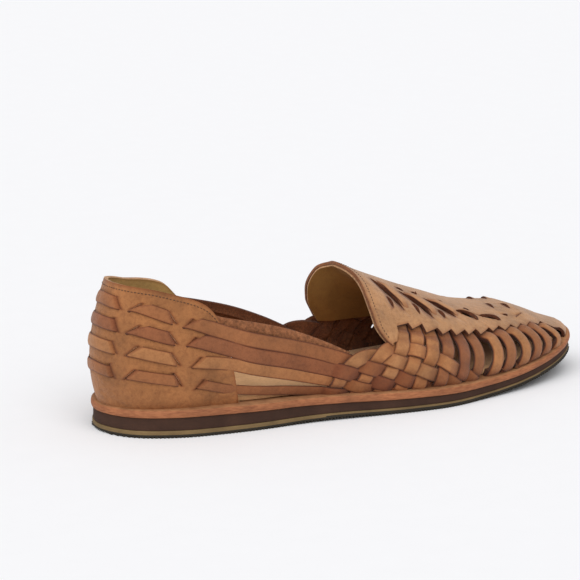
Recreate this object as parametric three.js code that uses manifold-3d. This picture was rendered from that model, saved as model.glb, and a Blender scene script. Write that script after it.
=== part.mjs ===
// Huarache sandal, right shoe: a leather upper plaited from straps on a flat layered sole.
// Millimetres. Before the final shift the back of the heel is x = 0, the toe points along +X,
// the outer (lateral) side of the foot is -Y, and the floor is z = 0.
import * as THREE from 'three';
import { mergeVertices } from 'three/addons/utils/BufferGeometryUtils.js';
import Module from 'manifold-3d';

const wasm = await Module();
wasm.setup();

// ---- driving sizes ----
const soleLength = 298;
const outsoleInset = 0.3;
const midsoleInset = 0.6;
const fitGap = 0.3;              // between pieces that touch
const leather = 2.0;             // wall of the upper
const insoleThickness = 3.2;
const insoleClearance = 2.2;     // between the insole's edge and the foot of the upper's wall
const archRise = 0.8;            // hollow under the waist
const springStart = 190;         // where the sole leaves the floor
const toeSpring = 13;            // lift of the sole's tip

// Plan of the sole: half widths from the long axis.
const soleSections = [
  { x: 0, lateral: 0, medial: 0 },
  { x: 8, lateral: 21, medial: 21 },
  { x: 30, lateral: 35, medial: 33.5 },
  { x: 65, lateral: 42, medial: 36.5 },
  { x: 105, lateral: 44.5, medial: 35 },
  { x: 145, lateral: 50.5, medial: 36.5 },
  { x: 185, lateral: 55, medial: 43.5 },
  { x: 215, lateral: 50, medial: 47.5 },
  { x: 245, lateral: 43.5, medial: 45.5 },
  { x: 268, lateral: 35, medial: 39 },
  { x: 284, lateral: 25, medial: 29.5 },
  { x: 294, lateral: 13.5, medial: 17.5 },
  { x: soleLength, lateral: -2, medial: 2 },
];

// Layers of the sole from the floor up, each row at one place along the foot.
const soleLayers = [
  { x: 0, outsole: 4.0, midsole: 7.0, welt: 4.0 },
  { x: 40, outsole: 4.0, midsole: 7.0, welt: 4.0 },
  { x: 85, outsole: 3.9, midsole: 6.2, welt: 3.9 },
  { x: 120, outsole: 3.4, midsole: 5.2, welt: 3.9 },
  { x: 175, outsole: 3.3, midsole: 4.4, welt: 3.8 },
  { x: 245, outsole: 2.7, midsole: 3.6, welt: 3.5 },
  { x: soleLength, outsole: 2.6, midsole: 3.8, welt: 3.4 },
];

// Sections of the last: crown is the height of its top line, ridge that line's sideways place,
// slack how far the section leans in from a plain arch, tuck how far it swells above the sole,
// ledge the width of welt left free outside the upper.
const lastSections = [
  { x: 0, crown: 122, ridge: 0, slack: 0.92, tuck: 4.2, ledge: 2.8 },
  { x: 36, crown: 122, ridge: 0, slack: 0.92, tuck: 4.2, ledge: 5.6 },
  { x: 75, crown: 108, ridge: 0, slack: 0.95, tuck: 3.6, ledge: 6.6 },
  { x: 110, crown: 91, ridge: 1, slack: 1.0, tuck: 3.2, ledge: 6.6 },
  { x: 146, crown: 74.5, ridge: 2, slack: 1.1, tuck: 3.0, ledge: 6.6 },
  { x: 174, crown: 60, ridge: 2, slack: 1.0, tuck: 3.2, ledge: 6.6 },
  { x: 202, crown: 49.5, ridge: 2, slack: 0.9, tuck: 3.4, ledge: 6.4 },
  { x: 227, crown: 41, ridge: 3, slack: 0.8, tuck: 3.6, ledge: 6.0 },
  { x: 250, crown: 37, ridge: 5, slack: 0.75, tuck: 3.6, ledge: 5.6 },
  { x: soleLength, crown: 33.5, ridge: 7, slack: 0.72, tuck: 3.4, ledge: 5.4 },
];

const heelCentre = 36;           // where the last's top line starts
const toeCentre = 258;           // and where it ends
const toeFall = 0.34;            // slope of the top line where it ends
const swellTop = 0.5;            // rise at which the swell above the sole has died away

// Heel counter: height of its collar edge, and the rows of straps threaded through it. A rise is
// a place on the last's section, from the sole's edge (0) to the top line (1).
const collarEdge = [
  { x: 5, lateral: 0.412, medial: 0.412 },
  { x: 20, lateral: 0.398, medial: 0.389 },
  { x: 30, lateral: 0.381, medial: 0.371 },
  { x: 40, lateral: 0.360, medial: 0.361 },
  { x: 48, lateral: 0.338, medial: 0.355 },
  { x: 56, lateral: 0.280, medial: 0.338 },
  { x: 63, lateral: 0.280, medial: 0.300 },
];
const counterFront = [
  { rise: -0.03, lateral: 67, medial: 67 },
  { rise: 0.11, lateral: 62, medial: 64 },
  { rise: 0.30, lateral: 56, medial: 63 },
];
const heelStraps = [
  { x: 4, first: 0.355, second: 0.276, third: 0.206, fourth: 0.129 },
  { x: 15, first: 0.335, second: 0.262, third: 0.190, fourth: 0.117 },
  { x: 31, first: 0.296, second: 0.229, third: 0.163, fourth: 0.092 },
  { x: 55, first: 0.250, second: 0.198, third: 0.144, fourth: 0.057 },
  { x: 75, first: 0.228, second: 0.171, third: 0.123, fourth: 0.042 },
  { x: 95, first: 0.214, second: 0.154, third: 0.100, fourth: 0.031 },
  { x: 125, first: 0.172, second: 0.111, third: 0.058, fourth: 0.010 },
  { x: 142, first: 0.127, second: 0.069, third: 0.020, fourth: -0.030 },
  { x: 160, first: 0.075, second: 0.010, third: -0.030, fourth: -0.060 },
  { x: 182, first: -0.020, second: -0.060, third: -0.070, fourth: -0.090 },
];
const heelStrapSizes = {
  first: { width: 8.4, foot: 181 },
  second: { width: 8.0, foot: 166 },
  third: { width: 6.2, foot: 153 },
  fourth: { width: 5.2, foot: 137 },
};
const strapProud = 1.2;          // how far a strap stands off the counter that it crosses
const padTurns = { centre: 0.021, from: 0.033, to: 0.073, slit: 0.083 };

// Vamp: its rear rim at the throat, and the edge that its fingers leave.
const throatRim = [
  { rise: 0.24, lateral: 159, medial: 153 },
  { rise: 0.30, lateral: 152, medial: 148 },
  { rise: 0.38, lateral: 149, medial: 142.5 },
  { rise: 0.50, lateral: 149, medial: 140 },
  { rise: 0.66, lateral: 149.5, medial: 142 },
  { rise: 0.82, lateral: 148.5, medial: 147 },
  { rise: 1.00, lateral: 147.5, medial: 147.5 },
];
const rimRise = 0.26;            // rise of the rim's foot, where the first finger leaves
const vampEdge = [
  { x: 146, rise: 0.27 },
  { x: 156, rise: 0.285 },
  { x: 164, rise: 0.40 },
  { x: 203, rise: 0.435 },
  { x: 222, rise: 0.475 },
  { x: 240, rise: 0.515 },
  { x: 264, rise: 0.505 },
  { x: 272, rise: 0.44 },
  { x: 278, rise: 0.31 },
  { x: 282, rise: 0.12 },
  { x: 285, rise: -0.03 },
];
const vampLift = 0.6;            // vamp off the last, over the fingers' upper ends
// Slots of the vamp's braid, from their small end near the middle to their forward end.
const braidSlots = [
  { x: 161, rise: 0.80, toX: 170.5, toRise: 0.56 },
  { x: 175, rise: 0.77, toX: 187.5, toRise: 0.54 },
  { x: 190.5, rise: 0.76, toX: 205, toRise: 0.61 },
  { x: 209, rise: 0.68, toX: 221.5, toRise: 0.605 },
  { x: 225.5, rise: 0.66, toX: 238, toRise: 0.605 },
];
const slotWidth = 4.2;
const slotTip = 0.4;             // width a slot keeps at its pointed ends

// Fingers of the vamp, throat to toe: place along the foot at the vamp's edge and at the sole.
const fingers = [
  { top: 165.5, foot: 148, width: 7.6 },
  { top: 174.7, foot: 159, width: 7.6 },
  { top: 183.8, foot: 170, width: 7.4 },
  { top: 193.6, foot: 183, width: 7.2 },
  { top: 203.7, foot: 196, width: 7.2 },
  { top: 212.6, foot: 208, width: 7.0 },
  { top: 222.3, foot: 221, width: 7.0 },
  { top: 231.8, foot: 232, width: 6.8 },
  { top: 241.2, foot: 243.5, width: 6.6 },
  { top: 250.2, foot: 254, width: 6.2 },
  { top: 258.3, foot: 263, width: 5.8 },
  { top: 267.2, foot: 271.5, width: 5.2 },
];
const fingerBow = 2.5;           // forward bow of a finger between its ends
const fingerRoot = 0.06;         // rise by which a finger reaches under the vamp's edge
const fingerLift = 0.8;          // fingers and folded straps lie over the heel straps
// The two rear straps of the plait come up from the sole, fold over the throat's edge and run
// forward under the fingers.
const foldedStraps = [
  [
    { x: 120, rise: -0.03 }, { x: 124, rise: 0.058 }, { x: 128, rise: 0.12 },
    { x: 134, rise: 0.168 }, { x: 144, rise: 0.194 }, { x: 156, rise: 0.175 },
    { x: 171, rise: 0.130 }, { x: 185, rise: 0.066 }, { x: 197, rise: -0.02 },
  ],
  [
    { x: 132, rise: -0.03 }, { x: 136, rise: 0.045 }, { x: 141, rise: 0.122 },
    { x: 147, rise: 0.190 }, { x: 156, rise: 0.250 }, { x: 167, rise: 0.252 },
    { x: 179, rise: 0.218 }, { x: 190, rise: 0.147 }, { x: 209, rise: -0.015 },
  ],
];
const foldedWidth = 7.4;
const footRise = -0.03;          // pieces run this far under the sole's edge, then are trimmed

const colours = {
  outsole: 0x8a7440,
  midsole: 0x3a2c26,
  welt: 0xb9744a,
  insole: 0xc79a6a,
  upper: 0xb37c4e,
};

// ---- reading the tables ----
// A smooth curve through one column of a table, keyed by x unless another column is named.
function column(table, name, at, key = 'x') {
  const last = table.length - 1;
  const place = THREE.MathUtils.clamp(at, table[0][key], table[last][key]);
  let i = 0;
  while (i < last - 1 && table[i + 1][key] < place) i += 1;
  const step = table[i + 1][key] - table[i][key];
  const u = (place - table[i][key]) / step;
  const slopeIn = slopeAt(table, name, key, i) * step;
  const slopeOut = slopeAt(table, name, key, i + 1) * step;
  const blend = u * u * (3 - 2 * u);
  const bow = u * (1 - u) * ((1 - u) * slopeIn - u * slopeOut);
  return THREE.MathUtils.lerp(table[i][name], table[i + 1][name], blend) + bow;
}

function slopeAt(table, name, key, i) {
  const last = table.length - 1;
  const slope = (a, b) => (table[b][name] - table[a][name]) / (table[b][key] - table[a][key]);
  if (i === 0) return slope(0, 1);
  if (i === last) return slope(last - 1, last);
  const before = slope(i - 1, i);
  const after = slope(i, i + 1);
  if (before * after <= 0) return 0;
  return 2 * before * after / (before + after);
}

function smooth(from, to, value) {
  return THREE.MathUtils.smoothstep(value, from, to);
}

// ---- plan outlines ----
const outlineSteps = 360;
const half = outlineSteps / 2;

// The sole's plan as a closed curve: heel, lateral side, toe, medial side.
function solePlan() {
  const lateral = soleSections.map((row) => new THREE.Vector3(row.x, -row.lateral, 0));
  const medial = soleSections.slice(1, -1).map((row) => new THREE.Vector3(row.x, row.medial, 0));
  const curve = new THREE.CatmullRomCurve3([...lateral, ...medial.reverse()], true, 'centripetal');
  return curve.getSpacedPoints(outlineSteps).slice(0, outlineSteps);
}

const planPoints = solePlan();

// The same plan moved inward by a distance that may change along the foot.
function insetPlan(inset) {
  return planPoints.map((point, i) => {
    const before = planPoints[(i + outlineSteps - 1) % outlineSteps];
    const after = planPoints[(i + 1) % outlineSteps];
    const along = new THREE.Vector3().subVectors(after, before).normalize();
    const inward = new THREE.Vector3(-along.y, along.x, 0);
    return point.clone().addScaledVector(inward, inset(point.x));
  });
}

// The floor side of the sole: flat under heel and ball, hollow at the waist, lifted at the toe.
function floorRise(x) {
  const hollow = smooth(78, 118, x) * (1 - smooth(122, 160, x));
  const lift = Math.max(0, (x - springStart) / (soleLength - springStart));
  return archRise * hollow + toeSpring * lift * lift;
}

const layerNames = ['outsole', 'midsole', 'welt'];

function layerTop(name, x) {
  const below = layerNames.slice(0, layerNames.indexOf(name) + 1);
  return floorRise(x) + below.reduce((sum, layer) => sum + column(soleLayers, layer, x), 0);
}

const seatHeight = (x) => layerTop('welt', x) + fitGap;

// ---- the last ----
const featherPlan = insetPlan((x) => column(lastSections, 'ledge', x) + leather);

// Place on the feather line, where turn 0 is the heel's back and 0.5 the toe's tip.
function featherPoint(turn) {
  const at = THREE.MathUtils.euclideanModulo(turn, 1) * outlineSteps;
  const i = Math.floor(at);
  const next = featherPlan[(i + 1) % outlineSteps];
  return featherPlan[i % outlineSteps].clone().lerp(next, at - i);
}

// The turn on one side at which the feather line reaches a place along the foot.
function turnAt(side, x) {
  let low = 0;
  let high = 0.5;
  for (let i = 0; i < 24; i += 1) {
    const middle = (low + high) / 2;
    if (featherPoint(side === 'lateral' ? middle : 1 - middle).x < x) low = middle;
    else high = middle;
  }
  return side === 'lateral' ? low : 1 - low;
}

// A point of the last's surface. It is also the inner face of the upper.
function lastSurface(turn, rise) {
  const edge = featherPoint(turn);
  const x = THREE.MathUtils.clamp(edge.x, heelCentre, toeCentre);
  const angle = rise * Math.PI / 2;
  const reach = Math.cos(angle) ** column(lastSections, 'slack', x);
  const low = THREE.MathUtils.clamp(rise / swellTop, 0, 1);
  const swell = column(lastSections, 'tuck', edge.x) * 6.75 * low * (1 - low) ** 2;
  const spine = new THREE.Vector3(x, column(lastSections, 'ridge', x), 0);
  const outward = edge.clone().sub(spine);
  const span = outward.length();
  const point = spine.addScaledVector(outward.normalize(), reach * span + swell);
  const seat = seatHeight(edge.x);
  const fall = toeFall * smooth(toeCentre - 40, toeCentre, edge.x) * (point.x - x);
  point.z = seat + (column(lastSections, 'crown', x) - seat - fall) * Math.sin(angle);
  return point;
}

// The outward normal there. On the top line it stands in the long plane of the shoe.
function lastNormal(turn, rise) {
  const step = 0.002;
  if (rise > 1 - 2 * step) {
    const x = THREE.MathUtils.clamp(featherPoint(turn).x, heelCentre, toeCentre);
    const slope = (column(lastSections, 'crown', x + 1) - column(lastSections, 'crown', x - 1)) / 2;
    return new THREE.Vector3(-slope, 0, 1).normalize();
  }
  const up = lastSurface(turn, rise + step).sub(lastSurface(turn, rise - step));
  const round = lastSurface(turn + step, rise).sub(lastSurface(turn - step, rise));
  return round.cross(up).normalize();
}

function lastPoint(turn, rise, lift) {
  return lastSurface(turn, rise).addScaledVector(lastNormal(turn, rise), lift);
}

// ---- building solids ----
function geometryOf(points, triangles) {
  const geometry = new THREE.BufferGeometry();
  const flat = points.flatMap((point) => [point.x, point.y, point.z]);
  geometry.setAttribute('position', new THREE.Float32BufferAttribute(flat, 3));
  geometry.setIndex(triangles.flat());
  const merged = mergeVertices(geometry, 1e-3);
  const index = merged.getIndex().array;
  const kept = [];
  for (let i = 0; i < index.length; i += 3) {
    const [a, b, c] = [index[i], index[i + 1], index[i + 2]];
    if (a !== b && b !== c && c !== a) kept.push(a, b, c);
  }
  merged.setIndex(kept);
  return merged;
}

function solidOf(points, triangles) {
  const geometry = geometryOf(points, triangles);
  const vertProperties = new Float32Array(geometry.getAttribute('position').array);
  const triVerts = new Uint32Array(geometry.getIndex().array);
  return new wasm.Manifold(new wasm.Mesh({ numProp: 3, vertProperties, triVerts }));
}

function meshOf(name, solid) {
  const made = solid.getMesh();
  const geometry = new THREE.BufferGeometry();
  geometry.setAttribute('position', new THREE.Float32BufferAttribute(made.vertProperties, 3));
  geometry.setIndex([...made.triVerts]);
  const material = new THREE.MeshStandardMaterial({
    color: colours[name], roughness: 0.8, metalness: 0,
  });
  const mesh = new THREE.Mesh(geometry, material);
  mesh.name = name;
  return mesh;
}

// A closed sheet between two grids of points of the same shape, the outer one first. Rows and
// columns that close on themselves need no end wall: openEnd leaves off the one after the last row.
function sheetSolid(outer, inner, openEnd = false) {
  const rows = outer.length;
  const cols = outer[0].length;
  const points = [...outer.flat(), ...inner.flat()];
  const top = (r, c) => r * cols + c;
  const under = (r, c) => rows * cols + r * cols + c;
  const triangles = [];
  const quad = (a, b, c, d) => triangles.push([a, b, c], [a, c, d]);
  for (let r = 0; r < rows - 1; r += 1) {
    for (let c = 0; c < cols - 1; c += 1) {
      quad(top(r, c), top(r + 1, c), top(r + 1, c + 1), top(r, c + 1));
      quad(under(r, c), under(r, c + 1), under(r + 1, c + 1), under(r + 1, c));
    }
    quad(top(r, 0), under(r, 0), under(r + 1, 0), top(r + 1, 0));
    quad(top(r, cols - 1), top(r + 1, cols - 1), under(r + 1, cols - 1), under(r, cols - 1));
  }
  for (let c = 0; c < cols - 1; c += 1) {
    quad(top(0, c), top(0, c + 1), under(0, c + 1), under(0, c));
    if (!openEnd) {
      const r = rows - 1;
      quad(top(r, c), under(r, c), under(r, c + 1), top(r, c + 1));
    }
  }
  return solidOf(points, triangles);
}

// A sheet on the last from a grid of { turn, rise }, its faces lifted off the last's surface.
function lastSheet(grid, innerLift, outerLift, openEnd = false) {
  const lifted = (lift) => grid.map((row) => row.map((at) => lastPoint(at.turn, at.rise, lift)));
  return sheetSolid(lifted(outerLift), lifted(innerLift), openEnd);
}

// A strap of rectangular section laid on the last along a path of { turn, rise, lift }.
function strapSolid(path, width, thickness = leather) {
  const rail = path.map((at) => lastSurface(at.turn, at.rise));
  const outer = [];
  const inner = [];
  path.forEach((at, i) => {
    const before = rail[Math.max(0, i - 1)];
    const after = rail[Math.min(rail.length - 1, i + 1)];
    const along = new THREE.Vector3().subVectors(after, before).normalize();
    const normal = lastNormal(at.turn, at.rise);
    const across = new THREE.Vector3().crossVectors(normal, along).normalize();
    const edgePair = (lift) => [-1, 1].map((side) => rail[i].clone()
      .addScaledVector(normal, lift)
      .addScaledVector(across, side * width / 2));
    outer.push(edgePair(at.lift + thickness));
    inner.push(edgePair(at.lift));
  });
  return sheetSolid(outer, inner);
}

function join(solids) {
  return solids.reduce((sum, solid) => sum.add(solid));
}

const evenly = (count, from, to) =>
  Array.from({ length: count + 1 }, (_, i) => from + (to - from) * i / count);

// ---- sole layers ----
// Stations along the foot, closer together at the ends where the outline turns.
const stations = evenly(44, 0, Math.PI).map((angle) => (1 - Math.cos(angle)) / 2);

// Half of an outline read at a fraction of its own length along the foot.
function outlineAt(plan, side, fraction) {
  const points = side === 'lateral'
    ? plan.slice(0, half + 1)
    : [plan[0], ...plan.slice(half).reverse()];
  const x = THREE.MathUtils.lerp(plan[0].x, plan[half].x, fraction);
  let i = 0;
  while (i < points.length - 2 && points[i + 1].x < x) i += 1;
  const u = THREE.MathUtils.clamp((x - points[i].x) / (points[i + 1].x - points[i].x), 0, 1);
  return new THREE.Vector3(x, THREE.MathUtils.lerp(points[i].y, points[i + 1].y, u), 0);
}

// A flat-lying layer with the given plan between two heights that follow the foot.
function layerSolid(plan, bottom, top) {
  const rows = stations.map((fraction) => ['lateral', 'medial'].map((side) =>
    outlineAt(plan, side, fraction)));
  const at = (height) => rows.map((row) => row.map((point) =>
    new THREE.Vector3(point.x, point.y, height(point.x))));
  return sheetSolid(at(top), at(bottom));
}

function outsole() {
  const plan = insetPlan(() => outsoleInset);
  return layerSolid(plan, floorRise, (x) => layerTop('outsole', x) - fitGap);
}

function midsole() {
  const plan = insetPlan(() => midsoleInset);
  const bottom = (x) => layerTop('outsole', x);
  return layerSolid(plan, bottom, (x) => layerTop('midsole', x) - fitGap);
}

function welt() {
  const bottom = (x) => layerTop('midsole', x);
  return layerSolid(planPoints, bottom, (x) => layerTop('welt', x));
}

function insole() {
  const plan = insetPlan((x) => column(lastSections, 'ledge', x) + leather + insoleClearance);
  return layerSolid(plan, seatHeight, (x) => seatHeight(x) + insoleThickness);
}

// Everything below the upper's seat, to trim the straps' feet level.
const trimBlock = { margin: 20, bottom: -30 };

function seatTrim() {
  const plan = insetPlan(() => -trimBlock.margin);
  return layerSolid(plan, () => trimBlock.bottom, seatHeight);
}

// ---- upper ----
const sides = ['lateral', 'medial'];
const mirrored = (side, turn) => (side === 'lateral' ? turn : 1 - turn);

// The heel counter, from its front edge on one side round to the other.
function counter() {
  const backward = evenly(10, -1, 0);
  const columns = [...backward, ...backward.slice(0, -1).reverse().map((u) => -u)];
  const grid = columns.map((u) => {
    const side = u < 0 ? 'medial' : 'lateral';
    const reach = (rise) => {
      const turn = turnAt(side, column(counterFront, side, rise, 'rise'));
      return Math.abs(u) * (side === 'lateral' ? turn : 1 - turn);
    };
    const collarRise = counterFront[counterFront.length - 1].rise;
    const edgeX = featherPoint(mirrored(side, reach(collarRise))).x;
    const topRise = column(collarEdge, side, edgeX);
    return evenly(4, footRise, topRise).map((rise) =>
      ({ turn: mirrored(side, reach(rise)), rise }));
  });
  return lastSheet(grid, 0, leather);
}

const strapRise = (name, turn) => column(heelStraps, name, featherPoint(turn).x);

// Where a threaded strap shows outside the counter: once over the back, once on each side.
function counterPads(name) {
  const width = heelStrapSizes[name].width;
  const pad = (from, to) => strapSolid(evenly(3, from, to).map((turn) =>
    ({ turn, rise: strapRise(name, turn), lift: strapProud })), width);
  const { centre, from, to } = padTurns;
  return [pad(-centre, centre), ...sides.map((side) =>
    (side === 'lateral' ? pad(from, to) : pad(-to, -from)))];
}

// The same strap from its last slit in the counter forward to the sole.
function heelStrap(name, side) {
  const { width, foot } = heelStrapSizes[name];
  const start = featherPoint(padTurns.slit).x;
  const path = evenly(9, start, foot).map((x) => ({
    turn: turnAt(side, x),
    rise: column(heelStraps, name, x),
    lift: strapProud * (1 - smooth(56, 72, x)),
  }));
  return strapSolid(path, width);
}

function foldedStrap(rows, side) {
  const curve = new THREE.CatmullRomCurve3(
    rows.map((row) => new THREE.Vector3(row.x, row.rise * 100, 0)), false, 'centripetal');
  const path = curve.getPoints(12).map((point, i) => ({
    turn: turnAt(side, point.x),
    rise: point.y / 100,
    lift: fingerLift * (1 - smooth(4, 8, i)),
  }));
  return strapSolid(path, foldedWidth);
}

function finger(row, side) {
  const topRise = column(vampEdge, 'rise', row.top) + fingerRoot;
  const path = evenly(7, footRise, topRise).map((rise) => {
    const u = Math.max(0, rise) / topRise;
    const x = THREE.MathUtils.lerp(row.foot, row.top, u) + fingerBow * Math.sin(Math.PI * u);
    return { turn: turnAt(side, x), rise, lift: fingerLift * (1 - u) };
  });
  return strapSolid(path, row.width);
}

// The vamp: a row of points for each place along the foot, from its lateral edge over the top
// line to its medial edge. At the toe the rows swing round until the two edges meet.
function vamp() {
  const across = evenly(5, 0, 1);
  const halfRow = (side, u) => {
    const edgeRise = (x) => column(vampEdge, 'rise', x);
    const tipX = featherPoint(0.5).x;
    const foot = THREE.MathUtils.lerp(column(throatRim, side, rimRise, 'rise'), tipX, u);
    const low = edgeRise(foot);
    return across.map((v) => {
      const rise = THREE.MathUtils.lerp(low, 1, v);
      const rear = column(throatRim, side, rise, 'rise');
      const x = THREE.MathUtils.lerp(rear, tipX, u);
      return { turn: u === 1 ? 0.5 : turnAt(side, x), rise };
    });
  };
  const steps = evenly(24, 0, 1).map((u) => 1 - (1 - u) ** 1.25);
  const grid = steps.map((u) => {
    const lateral = halfRow('lateral', u);
    const medial = halfRow('medial', u).reverse();
    return [...lateral, ...medial.slice(1)];
  });
  return lastSheet(grid, vampLift, vampLift + leather, true);
}

const flip = (row) => [...row].reverse();

// How far a cutter reaches outside and inside the last's surface.
const cutterReach = { out: 5, in: -3 };

// A leaf-shaped cutter through the vamp.
function braidCutter(slot, side) {
  const rows = evenly(5, 0, 1).map((u) => {
    const x = THREE.MathUtils.lerp(slot.x, slot.toX, u);
    const rise = THREE.MathUtils.lerp(slot.rise, slot.toRise, u);
    return { x, rise, wide: slotTip + slotWidth * Math.sin(Math.PI * u) };
  });
  const pair = (row, lift) => [-1, 1].map((way) =>
    lastPoint(turnAt(side, row.x + way * row.wide / 2), row.rise, lift));
  const outer = rows.map((row) => pair(row, cutterReach.out));
  const inner = rows.map((row) => pair(row, cutterReach.in));
  return side === 'lateral' ? sheetSolid(outer, inner) : sheetSolid(outer.map(flip), inner.map(flip));
}

function upper() {
  const names = Object.keys(heelStrapSizes);
  const straps = sides.flatMap((side) => [
    ...names.map((name) => heelStrap(name, side)),
    ...foldedStraps.map((rows) => foldedStrap(rows, side)),
    ...fingers.map((row) => finger(row, side)),
  ]);
  const cutters = sides.flatMap((side) => braidSlots.map((slot) => braidCutter(slot, side)));
  const plate = vamp().subtract(join(cutters));
  const pads = names.flatMap(counterPads);
  return join([counter(), ...pads, plate, ...straps]).subtract(seatTrim());
}

// ---- assembly ----
const group = new THREE.Group();
const pieces = { outsole, midsole, welt, insole, upper };
for (const [name, build] of Object.entries(pieces)) {
  group.add(meshOf(name, build()));
}

// The origin sits on the floor under the middle of the whole shoe.
const middle = new THREE.Box3().setFromObject(group).getCenter(new THREE.Vector3());
group.position.set(-middle.x, -middle.y, 0);

export default group;
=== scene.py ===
import bpy
import math
import numpy as np
from functools import partial
from mathutils import Matrix, Vector


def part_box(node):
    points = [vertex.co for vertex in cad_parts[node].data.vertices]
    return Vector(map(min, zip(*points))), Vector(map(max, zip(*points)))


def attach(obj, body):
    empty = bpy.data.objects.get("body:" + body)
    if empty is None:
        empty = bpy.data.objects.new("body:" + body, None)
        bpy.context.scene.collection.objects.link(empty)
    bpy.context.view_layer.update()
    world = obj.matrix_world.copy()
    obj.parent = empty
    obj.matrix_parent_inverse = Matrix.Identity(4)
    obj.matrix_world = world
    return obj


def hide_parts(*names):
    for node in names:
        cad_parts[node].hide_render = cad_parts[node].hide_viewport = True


# Huarache sandal, right shoe. Millimetres inside the tables, metres once a piece is placed.
# Before it is placed the heel's back is x = 0, the toe points along +X and the outer side is -Y.

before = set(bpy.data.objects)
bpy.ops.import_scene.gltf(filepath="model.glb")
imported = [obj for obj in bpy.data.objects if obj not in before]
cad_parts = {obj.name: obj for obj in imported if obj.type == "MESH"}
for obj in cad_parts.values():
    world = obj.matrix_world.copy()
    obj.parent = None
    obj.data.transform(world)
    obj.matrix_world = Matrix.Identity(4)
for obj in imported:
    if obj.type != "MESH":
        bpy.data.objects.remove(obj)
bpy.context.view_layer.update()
bpy.ops.object.select_all(action="DESELECT")
print("frame loaded:", sorted(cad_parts))


def table(names, *rows):
    return [dict(zip(names.split(), row)) for row in rows]


# ---- the last: the foot shape that every strap is pulled over ----
lastSizes = {
    "soleLength": 298, "leather": 2.0, "fitGap": 0.3,
    "archRise": 0.8, "archStart": (78, 118), "archEnd": (122, 160),
    "springStart": 190, "toeSpring": 13,
    "heelCentre": 36, "toeCentre": 258, "toeFall": 0.34, "fallRun": 40, "swellTop": 0.5,
}
# half widths of the sole from the long axis
soleSections = table(
    "x lateral medial", (0, 0, 0), (8, 21, 21), (30, 35, 33.5), (65, 42, 36.5), (105, 44.5, 35),
    (145, 50.5, 36.5), (185, 55, 43.5), (215, 50, 47.5), (245, 43.5, 45.5), (268, 35, 39),
    (284, 25, 29.5), (294, 13.5, 17.5), (298, -2, 2))
# thickness of the sole's layers, floor up
soleLayers = table(
    "x outsole midsole welt", (0, 4.0, 7.0, 4.0), (40, 4.0, 7.0, 4.0), (85, 3.9, 6.2, 3.9),
    (120, 3.4, 5.2, 3.9), (175, 3.3, 4.4, 3.8), (245, 2.7, 3.6, 3.5), (298, 2.6, 3.8, 3.4))
# crown: height of the top line, ridge: its sideways place, slack: how far a section leans in,
# tuck: its swell above the sole, ledge: welt left free outside the upper
lastSections = table(
    "x crown ridge slack tuck ledge",
    (0, 122, 0, 0.92, 4.2, 2.8), (36, 122, 0, 0.92, 4.2, 5.6), (75, 108, 0, 0.95, 3.6, 6.6),
    (110, 91, 1, 1.0, 3.2, 6.6), (146, 74.5, 2, 1.1, 3.0, 6.6), (174, 60, 2, 1.0, 3.2, 6.6),
    (202, 49.5, 2, 0.9, 3.4, 6.4), (227, 41, 3, 0.8, 3.6, 6.0), (250, 37, 5, 0.75, 3.6, 5.6),
    (298, 33.5, 7, 0.72, 3.4, 5.4))
planSteps = 360
planStarts = np.arange(planSteps + 1)
sides = ("lateral", "medial")


def column(rows, name, at, key="x"):
    # a smooth curve through one column of a table
    xs = np.array([row[key] for row in rows], float)
    ys = np.array([row[name] for row in rows], float)
    at = np.clip(np.asarray(at, float), xs[0], xs[-1])
    chord = np.diff(ys) / np.diff(xs)
    slope = np.concatenate(([chord[0]], np.zeros(len(xs) - 2), [chord[-1]]))
    before, after = chord[:-1], chord[1:]
    agree = before * after > 0
    slope[1:-1][agree] = 2 * before[agree] * after[agree] / (before + after)[agree]
    i = np.clip(np.searchsorted(xs, at, side="left") - 1, 0, len(xs) - 2)
    step = xs[i + 1] - xs[i]
    u = (at - xs[i]) / step
    blend = u * u * (3 - 2 * u)
    bow = u * (1 - u) * ((1 - u) * slope[i] - u * slope[i + 1]) * step
    return ys[i] + (ys[i + 1] - ys[i]) * blend + bow


def ease(low, high, value):
    t = np.clip((np.asarray(value, float) - low) / (high - low), 0, 1)
    return t * t * (3 - 2 * t)


def unit(vectors):
    return vectors / np.linalg.norm(vectors, axis=-1)[..., None]


def softCurve(points, closed=False, perSpan=24):
    # a curve through the points that never overshoots a short span
    points = np.asarray(points, float)
    count = len(points)
    if closed:
        around = np.vstack((points[-1:], points, points[:2]))
    else:
        around = np.vstack((2 * points[0] - points[1], points, 2 * points[-1] - points[-2]))
    t = np.arange(perSpan)[:, None] / perSpan
    made = []
    for k in range(count if closed else count - 1):
        a, b, c, d = four = around[k:k + 4]
        gap = [max(np.linalg.norm(four[j + 1] - four[j]), 1e-6) ** 0.5 for j in range(3)]
        leave = ((b - a) / gap[0] - (c - a) / (gap[0] + gap[1]) + (c - b) / gap[1]) * gap[1]
        reach = ((c - b) / gap[1] - (d - b) / (gap[1] + gap[2]) + (d - c) / gap[2]) * gap[1]
        made.append(b + leave * t + (3 * (c - b) - 2 * leave - reach) * t ** 2
                    + (2 * (b - c) + leave + reach) * t ** 3)
    return np.vstack(made if closed else made + [points[-1:]])


def runOf(points):
    return np.concatenate(([0], np.cumsum(np.linalg.norm(np.diff(points, axis=0), axis=1))))


def evenly(points, count):
    # the same curve at equal steps of its own length
    run = runOf(points)
    places = np.linspace(0, run[-1], count + 1)
    return np.stack([np.interp(places, run, points[:, k]) for k in range(points.shape[1])], 1)


outerSide = [(row["x"], -row["lateral"]) for row in soleSections]
innerSide = [(row["x"], row["medial"]) for row in soleSections[1:-1]]
planLoop = softCurve(outerSide + innerSide[::-1], closed=True)
solePlan = evenly(np.vstack((planLoop, planLoop[:1])), planSteps)[:-1]


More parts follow.
